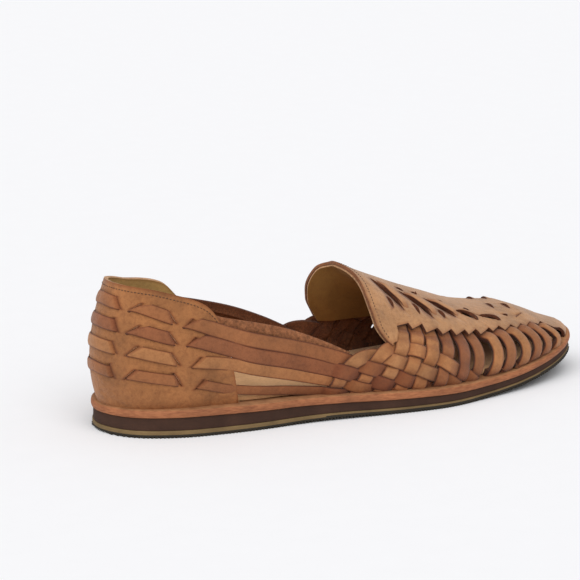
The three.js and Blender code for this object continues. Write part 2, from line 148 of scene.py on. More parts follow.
def insetPlan(distance):
    # the sole's outline moved inwards by a distance that may change along the foot
    along = unit(np.roll(solePlan, -1, 0) - np.roll(solePlan, 1, 0))
    inward = np.stack((-along[:, 1], along[:, 0]), 1)
    return solePlan + inward * (distance(solePlan[:, 0]) + 0 * solePlan[:, 0])[:, None]


def floorRise(x):
    size = lastSizes
    hollow = ease(*size["archStart"], x) * (1 - ease(*size["archEnd"], x))
    springRun = size["soleLength"] - size["springStart"]
    lift = np.maximum(0, (np.asarray(x) - size["springStart"]) / springRun)
    return size["archRise"] * hollow + size["toeSpring"] * lift ** 2


def layerTop(name, x):
    names = ["outsole", "midsole", "welt"]
    return floorRise(x) + sum(column(soleLayers, each, x) for each in names[:names.index(name) + 1])


def seatHeight(x):
    return layerTop("welt", x) + lastSizes["fitGap"]


featherPlan = insetPlan(lambda x: column(lastSections, "ledge", x) + lastSizes["leather"])
featherLoop = np.vstack((featherPlan, featherPlan[:1]))


def featherPoint(turn):
    # where the upper meets the sole: turn 0 at the heel's back, 0.5 at the toe's tip
    at = np.mod(turn, 1) * planSteps
    return np.stack([np.interp(at, planStarts, featherLoop[:, k]) for k in (0, 1)], -1)


def turnAt(side, x):
    half = planSteps // 2
    turns = planStarts[:half + 1] / planSteps
    if side == "lateral":
        return np.interp(x, featherLoop[:half + 1, 0], turns)
    return 1 - np.interp(x, featherLoop[half:, 0][::-1], turns)


def lastSurface(turn, rise):
    # rise runs up a section from the sole's edge (0) to the top line (1)
    turn, rise = np.broadcast_arrays(np.asarray(turn, float), np.asarray(rise, float))
    size = lastSizes
    edge = featherPoint(turn)
    x = np.clip(edge[..., 0], size["heelCentre"], size["toeCentre"])
    angle = rise * math.pi / 2
    reach = np.maximum(np.cos(angle), 0) ** column(lastSections, "slack", x)
    low = np.clip(rise / size["swellTop"], 0, 1)
    # 6.75 brings the swell's highest point to the tuck itself
    swell = column(lastSections, "tuck", edge[..., 0]) * 6.75 * low * (1 - low) ** 2
    spine = np.stack((x, column(lastSections, "ridge", x)), -1)
    outward = edge - spine
    span = np.linalg.norm(outward, axis=-1)
    flat = spine + outward / span[..., None] * (reach * span + swell)[..., None]
    seat = seatHeight(edge[..., 0])
    falling = ease(size["toeCentre"] - size["fallRun"], size["toeCentre"], edge[..., 0])
    fall = size["toeFall"] * falling * (flat[..., 0] - x)
    z = seat + (column(lastSections, "crown", x) - seat - fall) * np.sin(angle)
    return np.concatenate((flat, z[..., None]), -1)


def lastNormal(turn, rise):
    step = 0.002
    turn, rise = np.broadcast_arrays(np.asarray(turn, float), np.asarray(rise, float))
    held = np.minimum(rise, 1 - 2 * step)
    up = lastSurface(turn, held + step) - lastSurface(turn, held - step)
    around = lastSurface(turn + step, held) - lastSurface(turn - step, held)
    x = np.clip(featherPoint(turn)[..., 0], lastSizes["heelCentre"], lastSizes["toeCentre"])
    slope = (column(lastSections, "crown", x + 1) - column(lastSections, "crown", x - 1)) / 2
    top = unit(np.stack((-slope, 0 * x, np.ones_like(x)), -1))
    return np.where((rise > 1 - 2 * step)[..., None], top, unit(np.cross(around, up)))


# the shoe's own axes inside the row frame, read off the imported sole
weltLow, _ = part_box("welt")
heelBack = Vector((weltLow.x, weltLow.y - solePlan[:, 1].min() / 1000, 0))


def placed(points):
    return np.asarray(points) / 1000 + np.array(heelBack)


# ---- leather and rubber ----
def feed(tree, socket, value):
    # a number, a colour or another node's output
    if isinstance(value, bpy.types.NodeSocket):
        tree.links.new(value, socket)
    else:
        socket.default_value = (*value, 1) if isinstance(value, tuple) else value


def newMaterial(name, settings):
    # gives the material, its node tree, its shader and the object's own coordinates
    material = bpy.data.materials.new(name)
    material.use_nodes = True
    tree = material.node_tree
    tree.nodes.clear()
    output = tree.nodes.new("ShaderNodeOutputMaterial")
    shader = tree.nodes.new("ShaderNodeBsdfPrincipled")
    tree.links.new(shader.outputs["BSDF"], output.inputs["Surface"])
    for socket, value in settings.items():
        feed(tree, shader.inputs[socket], value)
    return material, tree, shader, tree.nodes.new("ShaderNodeTexCoord").outputs["Object"]


def addNode(tree, kind, inputs, output):
    node = tree.nodes.new("ShaderNode" + kind)
    for name, value in inputs.items():
        feed(tree, node.inputs[name], value)
    return node.outputs[output]


def noiseNode(tree, where, scale, detail, rough=0.55):
    return addNode(tree, "TexNoise", {"Vector": where, "Scale": scale, "Detail": detail,
                                      "Roughness": rough}, "Fac")


def rangeNode(tree, value, low, high):
    return addNode(tree, "MapRange", {"Value": value, "To Min": low, "To Max": high}, "Result")


def mathNode(tree, kind, *values):
    node = tree.nodes.new("ShaderNodeMath")
    node.operation = kind
    for socket, value in zip(node.inputs, values):
        feed(tree, socket, value)
    return node.outputs[0]


def rampNode(tree, value, stops):
    ramp = tree.nodes.new("ShaderNodeValToRGB")
    while len(ramp.color_ramp.elements) < len(stops):
        ramp.color_ramp.elements.new(0.5)
    for element, (place, colour) in zip(ramp.color_ramp.elements, stops):
        element.position = place
        element.color = (*colour, 1)
    tree.links.new(value, ramp.inputs["Fac"])
    return ramp.outputs["Color"]


def stainAndShade(tree, tone, amount, value, stops):
    # darkens the tone by a ramp of the value, for real marks and for painted shade alike
    mix = tree.nodes.new("ShaderNodeMix")
    mix.data_type = "RGBA"
    mix.blend_type = "MULTIPLY"
    first, second = (socket for socket in mix.inputs if socket.type == "RGBA")
    feed(tree, mix.inputs["Factor"], amount)
    feed(tree, first, tone)
    feed(tree, second, rampNode(tree, value, stops))
    return [socket for socket in mix.outputs if socket.type == "RGBA"][0]


def finishShader(tree, shader, tone, rough, height, strength, distance):
    # rough: the value that drives the roughness, and its range
    feed(tree, shader.inputs["Base Color"], tone)
    feed(tree, shader.inputs["Roughness"], rangeNode(tree, *rough))
    feed(tree, shader.inputs["Normal"], addNode(tree, "Bump", {
        "Height": height, "Strength": strength, "Distance": distance}, "Normal"))


def shade(colour, factor):
    return tuple(min(1.0, c * factor) for c in colour)


clean = (1, 1, 1)


def nubuck(name, colour, contrast=1.0, nap=1.0, sheen=0.25, edges=False):
    # buffed grain leather: cloudy tone, small scuffs, a short nap. A strap's long edges are
    # darkened by its UV, partly as burnish and partly as painted shade lines along them. A
    # per-point attribute darkens a strap where it dives under another and a sheet at its slits
    # (painted shade), and a sheet along its edges (burnish)
    material, tree, shader, place = newMaterial(name, {
        "Specular IOR Level": 0.28, "Sheen Weight": sheen, "Sheen Roughness": 0.5,
        "Sheen Tint": (1.0, 0.86, 0.76)})
    cloud = noiseNode(tree, place, 55, 4, 0.6)
    fleck = noiseNode(tree, place, 420, 5, 0.65)
    grain = noiseNode(tree, place, 2400, 3, 0.6)
    dent = noiseNode(tree, place, 170, 3, 0.5)
    tone = rampNode(tree, cloud, [(0.30, shade(colour, 1 - 0.22 * contrast)), (0.52, colour),
                                  (0.72, shade(colour, 1 + 0.16 * contrast))])
    tone = stainAndShade(tree, tone, 0.8 * contrast, fleck, [
        (0.34, (0.78, 0.73, 0.69)), (0.55, clean), (0.74, (1.0, 0.985, 0.96))])
    tone = stainAndShade(tree, tone, 0.65, grain, [(0.30, (0.80, 0.75, 0.71)), (0.56, clean)])
    # painted shade and burnish on the strap's long edges from its UV; it also goes darker and
    # redder towards both ends
    if edges:
        split = tree.nodes.new("ShaderNodeSeparateXYZ")
        feed(tree, split.inputs[0], addNode(tree, "TexCoord", {}, "UV"))
        off, toEnd = (
            mathNode(tree, "ABSOLUTE", mathNode(tree, "SUBTRACT", split.outputs[axis], 0.5))
            for axis in "YX")
        darkening = mathNode(tree, "ADD", off, mathNode(tree, "MULTIPLY", fleck, 0.05))
        tone = stainAndShade(tree, tone, 1.0, darkening, [
            (0.400, clean), (0.460, (0.74, 0.63, 0.56)), (0.505, (0.30, 0.18, 0.13))])
        tone = stainAndShade(tree, tone, 1.0, toEnd, [
            (0.20, clean), (0.40, (0.86, 0.78, 0.74)), (0.49, (0.62, 0.50, 0.44))])
    # painted shade where a strap dives or at a sheet's slits, and burnish along a sheet's edges,
    # from the per-point attribute
    shadeAndBurnish = tree.nodes.new("ShaderNodeAttribute")
    shadeAndBurnish.attribute_name = "shadeAndBurnish"
    rubbedAndShaded = mathNode(tree, "MULTIPLY", shadeAndBurnish.outputs["Fac"], rangeNode(tree, fleck, 0.6, 1.3))
    tone = stainAndShade(tree, tone, 1.0, rubbedAndShaded, [
        (0.05, clean), (0.50, (0.80, 0.70, 0.63)), (1.0, (0.42, 0.28, 0.21))])
    relief = [mathNode(tree, "MULTIPLY", noise, share)
              for noise, share in ((fleck, 0.8), (grain, 0.55), (dent, 1.3))]
    height = mathNode(tree, "ADD", mathNode(tree, "ADD", *relief[:2]), relief[2])
    finishShader(tree, shader, tone, (fleck, 0.62, 0.88), height, 0.75 * nap, 0.0005)
    return material


def fleshSide(name, colour, coarse=1.0):
    # the rough side and the raw cut edges, with standing fibres
    material, tree, shader, place = newMaterial(name, {"Specular IOR Level": 0.15,
                                                       "Sheen Weight": 0.1})
    fibre = noiseNode(tree, place, 900 / coarse, 6, 0.75)
    clump = noiseNode(tree, place, 210, 4, 0.6)
    tone = rampNode(tree, fibre, [(0.28, shade(colour, 0.42)), (0.50, colour),
                                  (0.74, shade(colour, 1.7))])
    tone = stainAndShade(tree, tone, 0.7, clump, [(0.3, (0.68, 0.62, 0.58)), (0.65, clean)])
    finishShader(tree, shader, tone, (fibre, 0.82, 0.98), fibre, 0.9, 0.0006 * coarse)
    return material


leatherTones = {
    "counter": (0.360, 0.145, 0.048),
    "vamp": (0.460, 0.230, 0.098),
    # the vamp's tone lightened: painted light on the ribbons' lit tops
    "ribbon": (0.500, 0.250, 0.112),
    "tan": (0.430, 0.185, 0.067),
    "honey": (0.400, 0.182, 0.071),
    "orange": (0.325, 0.122, 0.043),
    "russet": (0.275, 0.095, 0.036),
}
sheetFinish = {
    "counter": {"contrast": 1.35},
    "vamp": {"contrast": 1.35, "sheen": 0.4},
}
leathers = {name: nubuck("nubuck." + name, colour, **sheetFinish.get(name, {"edges": True}))
            for name, colour in leatherTones.items()}
# dark raw cut edges, made darker still as painted shade lines along the straps' edges and under the
# vamp's teeth
rawEdgeAndShade = fleshSide("raw edge", (0.105, 0.034, 0.015))
midEdge = fleshSide("brown raw edge", (0.250, 0.100, 0.044))
paleEdge = fleshSide("pale raw edge", (0.56, 0.32, 0.17))
flesh = fleshSide("flesh side", (0.175, 0.064, 0.027))
suede = fleshSide("suede strap", (0.300, 0.118, 0.050), coarse=1.8)
collarLining = nubuck("collar lining", (0.540, 0.350, 0.125), contrast=0.6, nap=0.7, sheen=0.1)
throatLeather = nubuck("pigskin lining", (0.270, 0.135, 0.034), contrast=0.6, nap=0.7, sheen=0.05)


# ---- cutting flat patterns and pulling them over the last ----
def flatPattern(name, cols, rows):
    # one unit each way, so a point's own place says where it lies on the pattern
    bpy.ops.object.select_all(action="DESELECT")
    bpy.ops.mesh.primitive_grid_add(x_subdivisions=cols - 1, y_subdivisions=rows - 1, size=1,
                                    location=(0.5, 0.5, 0))
    bpy.ops.object.transform_apply(location=True, rotation=True, scale=True)
    piece = bpy.context.object
    piece.name = piece.data.name = name
    return piece


def pointsOf(piece):
    flat = np.zeros(len(piece.data.vertices) * 3)
    piece.data.vertices.foreach_get("co", flat)
    return flat.reshape(-1, 3)


def movePoints(piece, points):
    piece.data.vertices.foreach_set("co", np.ascontiguousarray(points, float).ravel())
    piece.data.update()


def shadeAndBurnishAttribute(piece, values):
    piece.data.attributes.new("shadeAndBurnish", "FLOAT", "POINT").data.foreach_set("value", values)


def useAlone(piece):
    bpy.ops.object.select_all(action="DESELECT")
    piece.select_set(True)
    bpy.context.view_layer.objects.active = piece


def editAll(piece, *steps):
    # opens the piece with everything selected and runs the edit steps in turn
    useAlone(piece)
    bpy.ops.object.mode_set(mode="EDIT")
    bpy.ops.mesh.select_all(action="SELECT")
    for step in steps:
        step()
    bpy.ops.object.mode_set(mode="OBJECT")


def weld(piece, distance=0.00001):
    editAll(piece, lambda: bpy.ops.mesh.remove_doubles(threshold=distance))


def runModifier(piece, kind, **settings):
    useAlone(piece)
    modifier = piece.modifiers.new(kind.lower(), kind)
    for name, value in settings.items():
        setattr(modifier, name, value)
    bpy.ops.object.modifier_apply(modifier=modifier.name)


def smoothShade(piece, degrees=42):
    useAlone(piece)
    bpy.ops.object.shade_smooth_by_angle(angle=math.radians(degrees))


def dress(piece, *materials):
    for material in materials:
        piece.data.materials.append(material)


def thicken(piece, thickness, edge=0.3):
    # leather below the drawn face, its cut edges on the third material and rounded over
    runModifier(piece, "SOLIDIFY", thickness=thickness / 1000, offset=-1, use_even_offset=False,
                material_offset=1, material_offset_rim=2)
    runModifier(piece, "BEVEL", width=edge / 1000, segments=2, limit_method="ANGLE",
                angle_limit=math.radians(48))
    smoothShade(piece)


def keep(piece, node):
    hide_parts(node)
    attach(piece, "root")
    return piece


# ---- straps ----
# one whole rise and one whole turn in millimetres, roughly: they even out a path's steps
pathScale = {"rise": 100, "turn": 700}
# painted shade where a strap dives under another: how dark it gets at most, and steep, the slope of
# a full dive
strapSizes = {"thickness": 1.7, "crown": 0.5, "railSteps": 420, "darkening": 0.85, "steep": 0.30,
              "curlFrom": 0.30, "meeting": 1.2}


def railOf(side, points):
    # a strap's centre line, from (x, rise) pairs, with its own directions at each step
    rise = pathScale["rise"]
    drawn = evenly(softCurve([(x, y * rise) for x, y in points]), strapSizes["railSteps"])
    return railFrom(turnAt(side, drawn[:, 0]), drawn[:, 1] / rise, side == "medial")


def railFrom(turn, rise, mirrored=False):
    point = lastSurface(turn, rise)
    normal = lastNormal(turn, rise)
    along = unit(np.gradient(point, axis=0))
    across = unit(np.cross(normal, along)) * (-1 if mirrored else 1)
    return {"point": point, "normal": normal, "along": along, "across": across,
            "run": runOf(point), "mirrored": mirrored}


def readRail(rail, name, run):
    return np.stack([np.interp(run, rail["run"], rail[name][:, k]) for k in range(3)], -1)


def levelAt(knots, run, off):
    # height of the strap off the last between its knots (run, level, slant)
    places, levels, slants = np.array(sorted(knots), float).T
    result = np.empty_like(run)
    for value in np.unique(off):
        here = off == value
        shifted = np.maximum.accumulate(places + slants * value)
        i = np.clip(np.searchsorted(shifted, run[here]) - 1, 0, len(places) - 2)
        share = (run[here] - shifted[i]) / np.maximum(shifted[i + 1] - shifted[i], 1e-6)
        result[here] = levels[i] + (levels[i + 1] - levels[i]) * ease(0.12, 0.88, share)
    return result


def strap(name, rail, widths, knots, skin, thickness=strapSizes["thickness"], curl=0.0, pitch=1.0):
    # widths: (share of the length, width) pairs; curl drops the rear edge
    length = rail["run"][-1]
    across = 8
    piece = flatPattern(name, max(8, int(length / pitch)), across + 1)
    flat = pointsOf(piece)
    off = np.round(flat[:, 1] * across) / across - 0.5
    run = length * flat[:, 0]
    wide = np.interp(flat[:, 0], [w[0] for w in widths], [w[1] for w in widths])
    aside = off * np.mean(wide)
    level = levelAt(knots, run, aside)
    # painted shade: darkest where the strap dives steeply under another and where it lies lowest
    dive = np.abs(levelAt(knots, run + 0.5, aside) - levelAt(knots, run - 0.5, aside))
    depth = 1 - (level - level.min()) / (np.ptp(level) + 0.001)
    shadeAndBurnish = strapSizes["darkening"] * np.clip(dive / strapSizes["steep"], 0, 1) * (0.3 + 0.7 * depth)
    level = level - strapSizes["crown"] * (2 * np.abs(off)) ** 3
    if curl:
        level = level - curl * ease(strapSizes["curlFrom"], 0.5, -off)
    point = (readRail(rail, "point", run) + readRail(rail, "normal", run) * level[:, None]
             + readRail(rail, "across", run) * (off * wide)[:, None])
    movePoints(piece, placed(point))
    shadeAndBurnishAttribute(piece, shadeAndBurnish)
    if rail["mirrored"]:
        editAll(piece, bpy.ops.mesh.flip_normals)
    dress(piece, skin, flesh, rawEdgeAndShade)
    thicken(piece, thickness)
    return keep(piece, "upper")


# The plait. Each strap is listed from its rear or upper end; a rise below 0 is under the sole.
plaitLevels = {"over": 3.9, "under": 1.7, "foot": 1.9, "footRun": 3, "lead": 9}
snug = {"lateral": 1.0, "medial": 1.18}    # the inner side is plaited closer
# the four straps round the heel: width at the heel and beside it, height off the last, then the
# rise of the middle of the back and the path of its side part
heelStraps = {
    "s1": {"heelWidth": 6.9, "width": 8.0, "side": 2.6, "back": 0.350, "points": [
        (60, 0.244), (75, 0.228), (95, 0.213), (110, 0.198), (124, 0.172), (142, 0.128),
        (153, 0.105), (162, 0.069), (171, 0.033), (179, -0.02)]},
    "s2": {"heelWidth": 6.9, "width": 8.3, "side": 2.35, "back": 0.273, "points": [
        (60, 0.192), (74, 0.172), (95, 0.153), (108, 0.137), (127, 0.107), (139, 0.076),
        (149, 0.049), (159, 0.016), (167, -0.02)]},
    "s3": {"heelWidth": 6.9, "width": 7.0, "side": 2.1, "back": 0.200, "points": [
        (60, 0.140), (74, 0.123), (95, 0.100), (108, 0.083), (124, 0.059), (136, 0.033),
        (148, 0.006), (155, -0.02)]},
    "s4": {"heelWidth": 6.3, "width": 5.5, "side": 1.9, "back": 0.124, "points": [
        (62, 0.052), (78, 0.041), (96, 0.031), (110, 0.021), (125, 0.010), (136, -0.02)]},
}
# how far from the back a heel strap is narrow, starts to widen and is at full width
heelRuns = (50, 62, 72)
heelStrapSizes = {"thickness": 1.5, "pitch": 0.8, "leave": 0.135}
foldedStraps = {
    "b": {"width": 7.8, "points": [
        (120, -0.03), (122, 0.03), (125, 0.086), (130, 0.141), (136, 0.178), (144, 0.196),
        (151, 0.191), (157, 0.174), (166, 0.153), (172, 0.126), (185, 0.068), (191, 0.028),
        (197, -0.02)]},
    "a": {"width": 7.8, "points": [
        (133, -0.03), (135.5, 0.03), (139, 0.089), (144, 0.155), (149, 0.210), (155, 0.248),
        (163, 0.260), (171, 0.248), (179, 0.224), (187, 0.166), (196, 0.103), (203, 0.048),
        (209, -0.015)]},
}
fingers = {
    "F1": {"width": 7.9, "points": [(164.5, 0.369), (162.9, 0.302), (159.9, 0.224), (156, 0.169),
                                    (153, 0.111), (149, 0.051), (147, -0.02)]},
    "F2": {"width": 7.9, "points": [(173.7, 0.373), (171.7, 0.305), (169.4, 0.237), (166.1, 0.158),
                                    (162, 0.070), (158, -0.02)]},
    "F3": {"width": 7.8, "points": [(182.8, 0.373), (181.1, 0.308), (178.3, 0.222), (175.3, 0.159),
                                    (171.5, 0.085), (169.5, -0.02)]},
    "F4": {"width": 7.6, "points": [(192.5, 0.374), (191.6, 0.320), (189.3, 0.244), (186.3, 0.168),
                                    (184, 0.106), (182, -0.02)]},
    "F5": {"width": 7.6, "points": [(202.8, 0.360), (202.0, 0.291), (199.4, 0.177), (196.8, 0.084),
                                    (195.5, -0.02)]},
    "F6": {"width": 7.3, "points": [(212.4, 0.367), (212.4, 0.292), (210.3, 0.166), (208.2, 0.074),
                                    (207, -0.02)]},
    "F7": {"width": 7.3, "points": [(223.9, 0.368), (224.6, 0.261), (223.1, 0.167), (220.9, 0.085),
                                    (219.5, -0.02)]},
    "F8": {"width": 7.0, "points": [(233.4, 0.389), (234.5, 0.282), (233.1, 0.177), (230.9, 0.095),
                                    (229.5, -0.02)]},
    "F9": {"width": 6.9, "points": [(243.9, 0.381), (245.7, 0.259), (244.7, 0.166), (242.5, 0.085),
                                    (241, -0.02)]},
    "F10": {"width": 6.6, "points": [(252.9, 0.380), (255.3, 0.264), (254.3, 0.165), (251.9, 0.085),
                                     (250.5, -0.02)]},
    "F11": {"width": 6.3, "points": [(261.0, 0.375), (263.6, 0.252), (262.9, 0.154), (260.9, 0.085),
                                     (259.5, -0.02)]},
    "F12": {"width": 5.9, "points": [(271.2, 0.359), (272.8, 0.247), (272.3, 0.153), (270.1, 0.080),
                                     (269.5, -0.02)]},
}
# a finger that stands open is folded double, and bows out between its two ends
fingerSizes = {
    "taper": [(0, 1.12), (0.25, 1.08), (0.6, 0.98), (1, 1.08)], "curl": 0.5, "pitch": 0.9,
    "woven": 2.3, "wovenLevel": 2.7, "open": 4.0, "openLevel": 4.1, "bow": (0.40, 0.74),
    "ends": [(-5, 1.0, 0), (4, 1.3, 0)], "footLevel": 2.0, "hidden": 8, "free": 16,
    "lead": 7, "tuckedShare": 1.2,
}
# a strap inside the top one, flesh side out, whose edge shows above it
backingStrap = {"width": 6.0, "level": 0.6, "thickness": 1.4, "points": [
    (46, 0.300), (56, 0.284), (74, 0.279), (98, 0.262), (116, 0.226), (130, 0.180)]}
plaitRows = ["a", "b", "s1", "s2", "s3", "s4"]
plaitColumns = {"B1": "b", "B2": "a"} | {name: name for name in list(fingers)[:6]}
toneOf = {
    "s1": "orange", "s2": "russet", "s3": "tan", "s4": "orange", "b": "honey", "a": "tan",
    "F1": "honey", "F2": "tan", "F3": "tan", "F4": "orange", "F5": "russet", "F6": "orange",
    "F7": "tan", "F8": "orange", "F9": "tan", "F10": "orange", "F11": "orange", "F12": "tan",
}


def heelHalf(side, name):
    # half of a heel strap, from the middle of the back through the counter's slits to the sole
    part = heelStraps[name]
    scale = (pathScale["turn"], pathScale["rise"])
    ends = [np.mean(pair, axis=0) for pair in counterSlits[name].values()]
    pairs = [(0, part["back"])] + [tuple(end) for end in sorted(ends, key=lambda end: end[0])]
    for x, rise in part["points"]:
        turn = turnAt(side, x)
        pairs.append((turn if side == "lateral" else 1 - turn, rise))
    drawn = evenly(softCurve([(turn * scale[0], rise * scale[1]) for turn, rise in pairs]),
                   strapSizes["railSteps"])
    turn, rise = drawn[:, 0] / scale[0], drawn[:, 1] / scale[1]
    rail = railFrom(turn if side == "lateral" else -turn, rise, side == "medial")
    rail["turn"], rail["rise"] = turn, rise
    rail["knots"] = slitKnots(rail, name)
    return rail


def slitKnots(rail, name):
    # the strap is outside the counter up to "back", from "rear" to "fore", and after "out"
    size = counterSizes
    knots = []
    for kind, (low, high) in counterSlits[name].items():
        middle, start, stop = np.interp([(low[0] + high[0]) / 2, low[0], high[0]],
                                        rail["turn"], rail["run"])
        tall = lastSurface(*high)[2] - lastSurface(*low)[2]
        slant = (stop - start) / tall
        way = 1 if kind in ("rear", "out") else -1
        knots.append((middle - size["early"] * way, size["under"], slant))
        knots.append((middle + size["dive"] * way, size["over"], slant))
    leave = np.interp(heelStrapSizes["leave"], rail["turn"], rail["run"])
    return knots + [(leave, heelStraps[name]["side"], 0)]


def meetingOf(first, second):
    # where two rails cross: (run on each, slant on each), or None
    gap = np.linalg.norm(first["point"][:, None, :] - second["point"][None, :, :], axis=2)
    i, j = np.unravel_index(gap.argmin(), gap.shape)
    atEnd = min(i, j) == 0 or i == len(gap) - 1 or j == len(gap[0]) - 1
    if gap[i, j] > strapSizes["meeting"] or atEnd:
        return None
    slants = []
    for here, at, other, there in ((first, i, second, j), (second, j, first, i)):
        side = other["along"][there] @ here["across"][at]
        ahead = other["along"][there] @ here["along"][at]
        slants.append(ahead / side if abs(side) > 0.2 else 0)
    return first["run"][i], second["run"][j], slants[0], slants[1]


def plaitRails(side):
    rails = {name: heelHalf(side, name) for name in heelStraps}
    rails |= {name: railOf(side, part["points"]) for name, part in foldedStraps.items()}
    for number, (name, part) in enumerate(fingers.items(), 1):
        # it comes out at the rear edge of a tooth, between two of the vamp's pattern lines
        start = np.mean([vampLines[2 * number + step][0] for step in (0, 1)], axis=0)
        hidden = start - (np.array(part["points"][0]) - start) * fingerSizes["tuckedShare"]
        rails[name] = railOf(side, [tuple(hidden), tuple(start)] + part["points"])
    return rails


def crossings(rails):
    # every crossing of a row with a column raises one strap and lowers the other in turn
    knots = {name: list(rail.get("knots", [])) for name, rail in rails.items()}
    met = {name: [] for name in rails}
    over, under = plaitLevels["over"], plaitLevels["under"]
    for row, rowName in enumerate(plaitRows):
        for col, (colName, other) in enumerate(plaitColumns.items()):
            if other == rowName or (rowName, colName) == ("a", "B1"):
                continue
            place = meetingOf(rails[rowName], rails[other])
            if place is None:
                continue
            columnOver = (row + col) % 2 == 0
            met[rowName].append((place[0], under if columnOver else over, place[2]))
            met[other].append((place[1], over if columnOver else under, place[3]))
    return knots, met


def plait(side):
    # weaves one side and returns its halves of the heel straps with their knots
    rails = plaitRails(side)
    knots, met = crossings(rails)
    foot, footRun = plaitLevels["foot"], plaitLevels["footRun"]
    halves = {}
    for name, rail in rails.items():
        length = rail["run"][-1]
        first = min([knot[0] for knot in met[name]] + [length])
        footKnot = (length + footRun, foot, 0)
        if name in heelStraps:
            beside = (first - plaitLevels["lead"], heelStraps[name]["side"], 0)
            rail["knots"] = knots[name] + met[name] + [beside, footKnot]
            halves[name] = rail
        elif name in foldedStraps:
            width = foldedStraps[name]["width"] * snug[side]
            strap(f"folded.{name}.{side}", rail, [(0, width)],
                  met[name] + [(-5, foot, 0), footKnot], leathers[toneOf[name]])
        else:
            finger(name, side, rail, met[name], first)
    part = backingStrap
    rail = railOf(side, part["points"])
    strap("backing." + side, rail, [(0, part["width"])],
          [(at, part["level"], 0) for at in (-5, 300)], suede, thickness=part["thickness"])
    print("plait:", side, {name: len(found) for name, found in met.items()})
    return halves


def finger(name, side, rail, met, first):
    size = fingerSizes
    width = fingers[name]["width"] * snug[side]
    length = rail["run"][-1]
    early = [knot for knot in met if knot[0] > size["hidden"]]
    knots = early + size["ends"] + [(length + plaitLevels["footRun"], size["footLevel"], 0)]
    if not early:
        knots += [(length * share, size["openLevel"], 0) for share in size["bow"]]
    elif first > size["free"]:
        knots += [(first - size["lead"], size["wovenLevel"], 0)]
    shape = [(share, width * part) for share, part in size["taper"]]
    strap(f"{name}.{side}", rail, shape, knots, leathers[toneOf[name]],
          size["woven"] if early else size["open"], size["curl"], size["pitch"])


def heelStrap(name, inner, outer):
    # one strap from the inner foot line, round the heel, to the outer foot line
    part = heelStraps[name]
    turn = np.concatenate((-inner["turn"][:0:-1], outer["turn"]))
    rise = np.concatenate((inner["rise"][:0:-1], outer["rise"]))
    rail = railFrom(turn, rise)
    back = inner["run"][-1]
    knots = [(back + run, level, slant) for run, level, slant in outer["knots"]]
    knots += [(back - run, level, -slant) for run, level, slant in inner["knots"]]
    narrow, wider, wide = heelRuns
    places = (-wide, -wider, -narrow, narrow, wider, wide)
    widths = [((back + place) / rail["run"][-1],
               part["heelWidth"] if abs(place) == narrow else part["width"]) for place in places]
    strap("heelStrap." + name, rail, widths, knots, leathers[toneOf[name]],
          heelStrapSizes["thickness"], pitch=heelStrapSizes["pitch"])


# ---- sheets with slits: the counter and the vamp ----
# how far the darkening reaches: burnish from an edge, painted shade from a slit and past its ends;
# and how dark the edge burnish gets
sheetShadeAndBurnish = {"edge": 1.3, "slit": 1.3, "pastEnd": 0.8, "darkening": 0.65}


def gridPlaces(piece, lines, steps):
    flat = pointsOf(piece)
    return [np.round(flat[:, axis] * (count - 1)).astype(int)
            for axis, count in enumerate((lines, steps))]


def cutSlits(piece, lines, steps, slits):
    # splits the pattern's edges along each slit
    col, row = gridPlaces(piece, lines, steps)
    useAlone(piece)
    bpy.ops.object.mode_set(mode="EDIT")
    bpy.ops.mesh.select_mode(type="EDGE")
    bpy.ops.mesh.select_all(action="DESELECT")
    bpy.ops.object.mode_set(mode="OBJECT")
    ends = np.zeros(len(piece.data.edges) * 2, int)
    piece.data.edges.foreach_get("vertices", ends)
    ends = ends.reshape(-1, 2)
    chosen = np.zeros(len(ends), bool)
    for slit in slits:
        onLine = (col[ends] == slit["line"]).all(1)
        chosen |= onLine & (row[ends].min(1) >= slit["from"]) & (row[ends].max(1) <= slit["to"])
    piece.data.edges.foreach_set("select", chosen)
    bpy.ops.object.mode_set(mode="EDIT")
    bpy.ops.mesh.edge_split(type="EDGE")
    bpy.ops.object.mode_set(mode="OBJECT")


def leanOf(piece):
    # tells the two lips of a slit apart: on which side of each point its faces lie
    flat = pointsOf(piece)
    lean = np.zeros(len(flat))
    for face in piece.data.polygons:
        for vertex in face.vertices:
            lean[vertex] += face.center[0] - flat[vertex, 0]
    return lean


def pressCrease(point, crease):
    # height of a soft ridge (or trough, below 0) drawn along (x, rise) points of one side
    side, path, height, width = crease
    steps = 24
    path = evenly(np.array(path, float), steps)
    drawn = lastSurface(turnAt(side, path[:, 0]), path[:, 1])
    gap = np.linalg.norm(point[:, None, :] - drawn[None, :, :], axis=2)
    taper = np.sin(math.pi * np.clip((gap.argmin(1) + 2) / (steps + 4), 0, 1)) ** 0.6
    return height * taper * np.exp(-(gap.min(1) / width) ** 2)


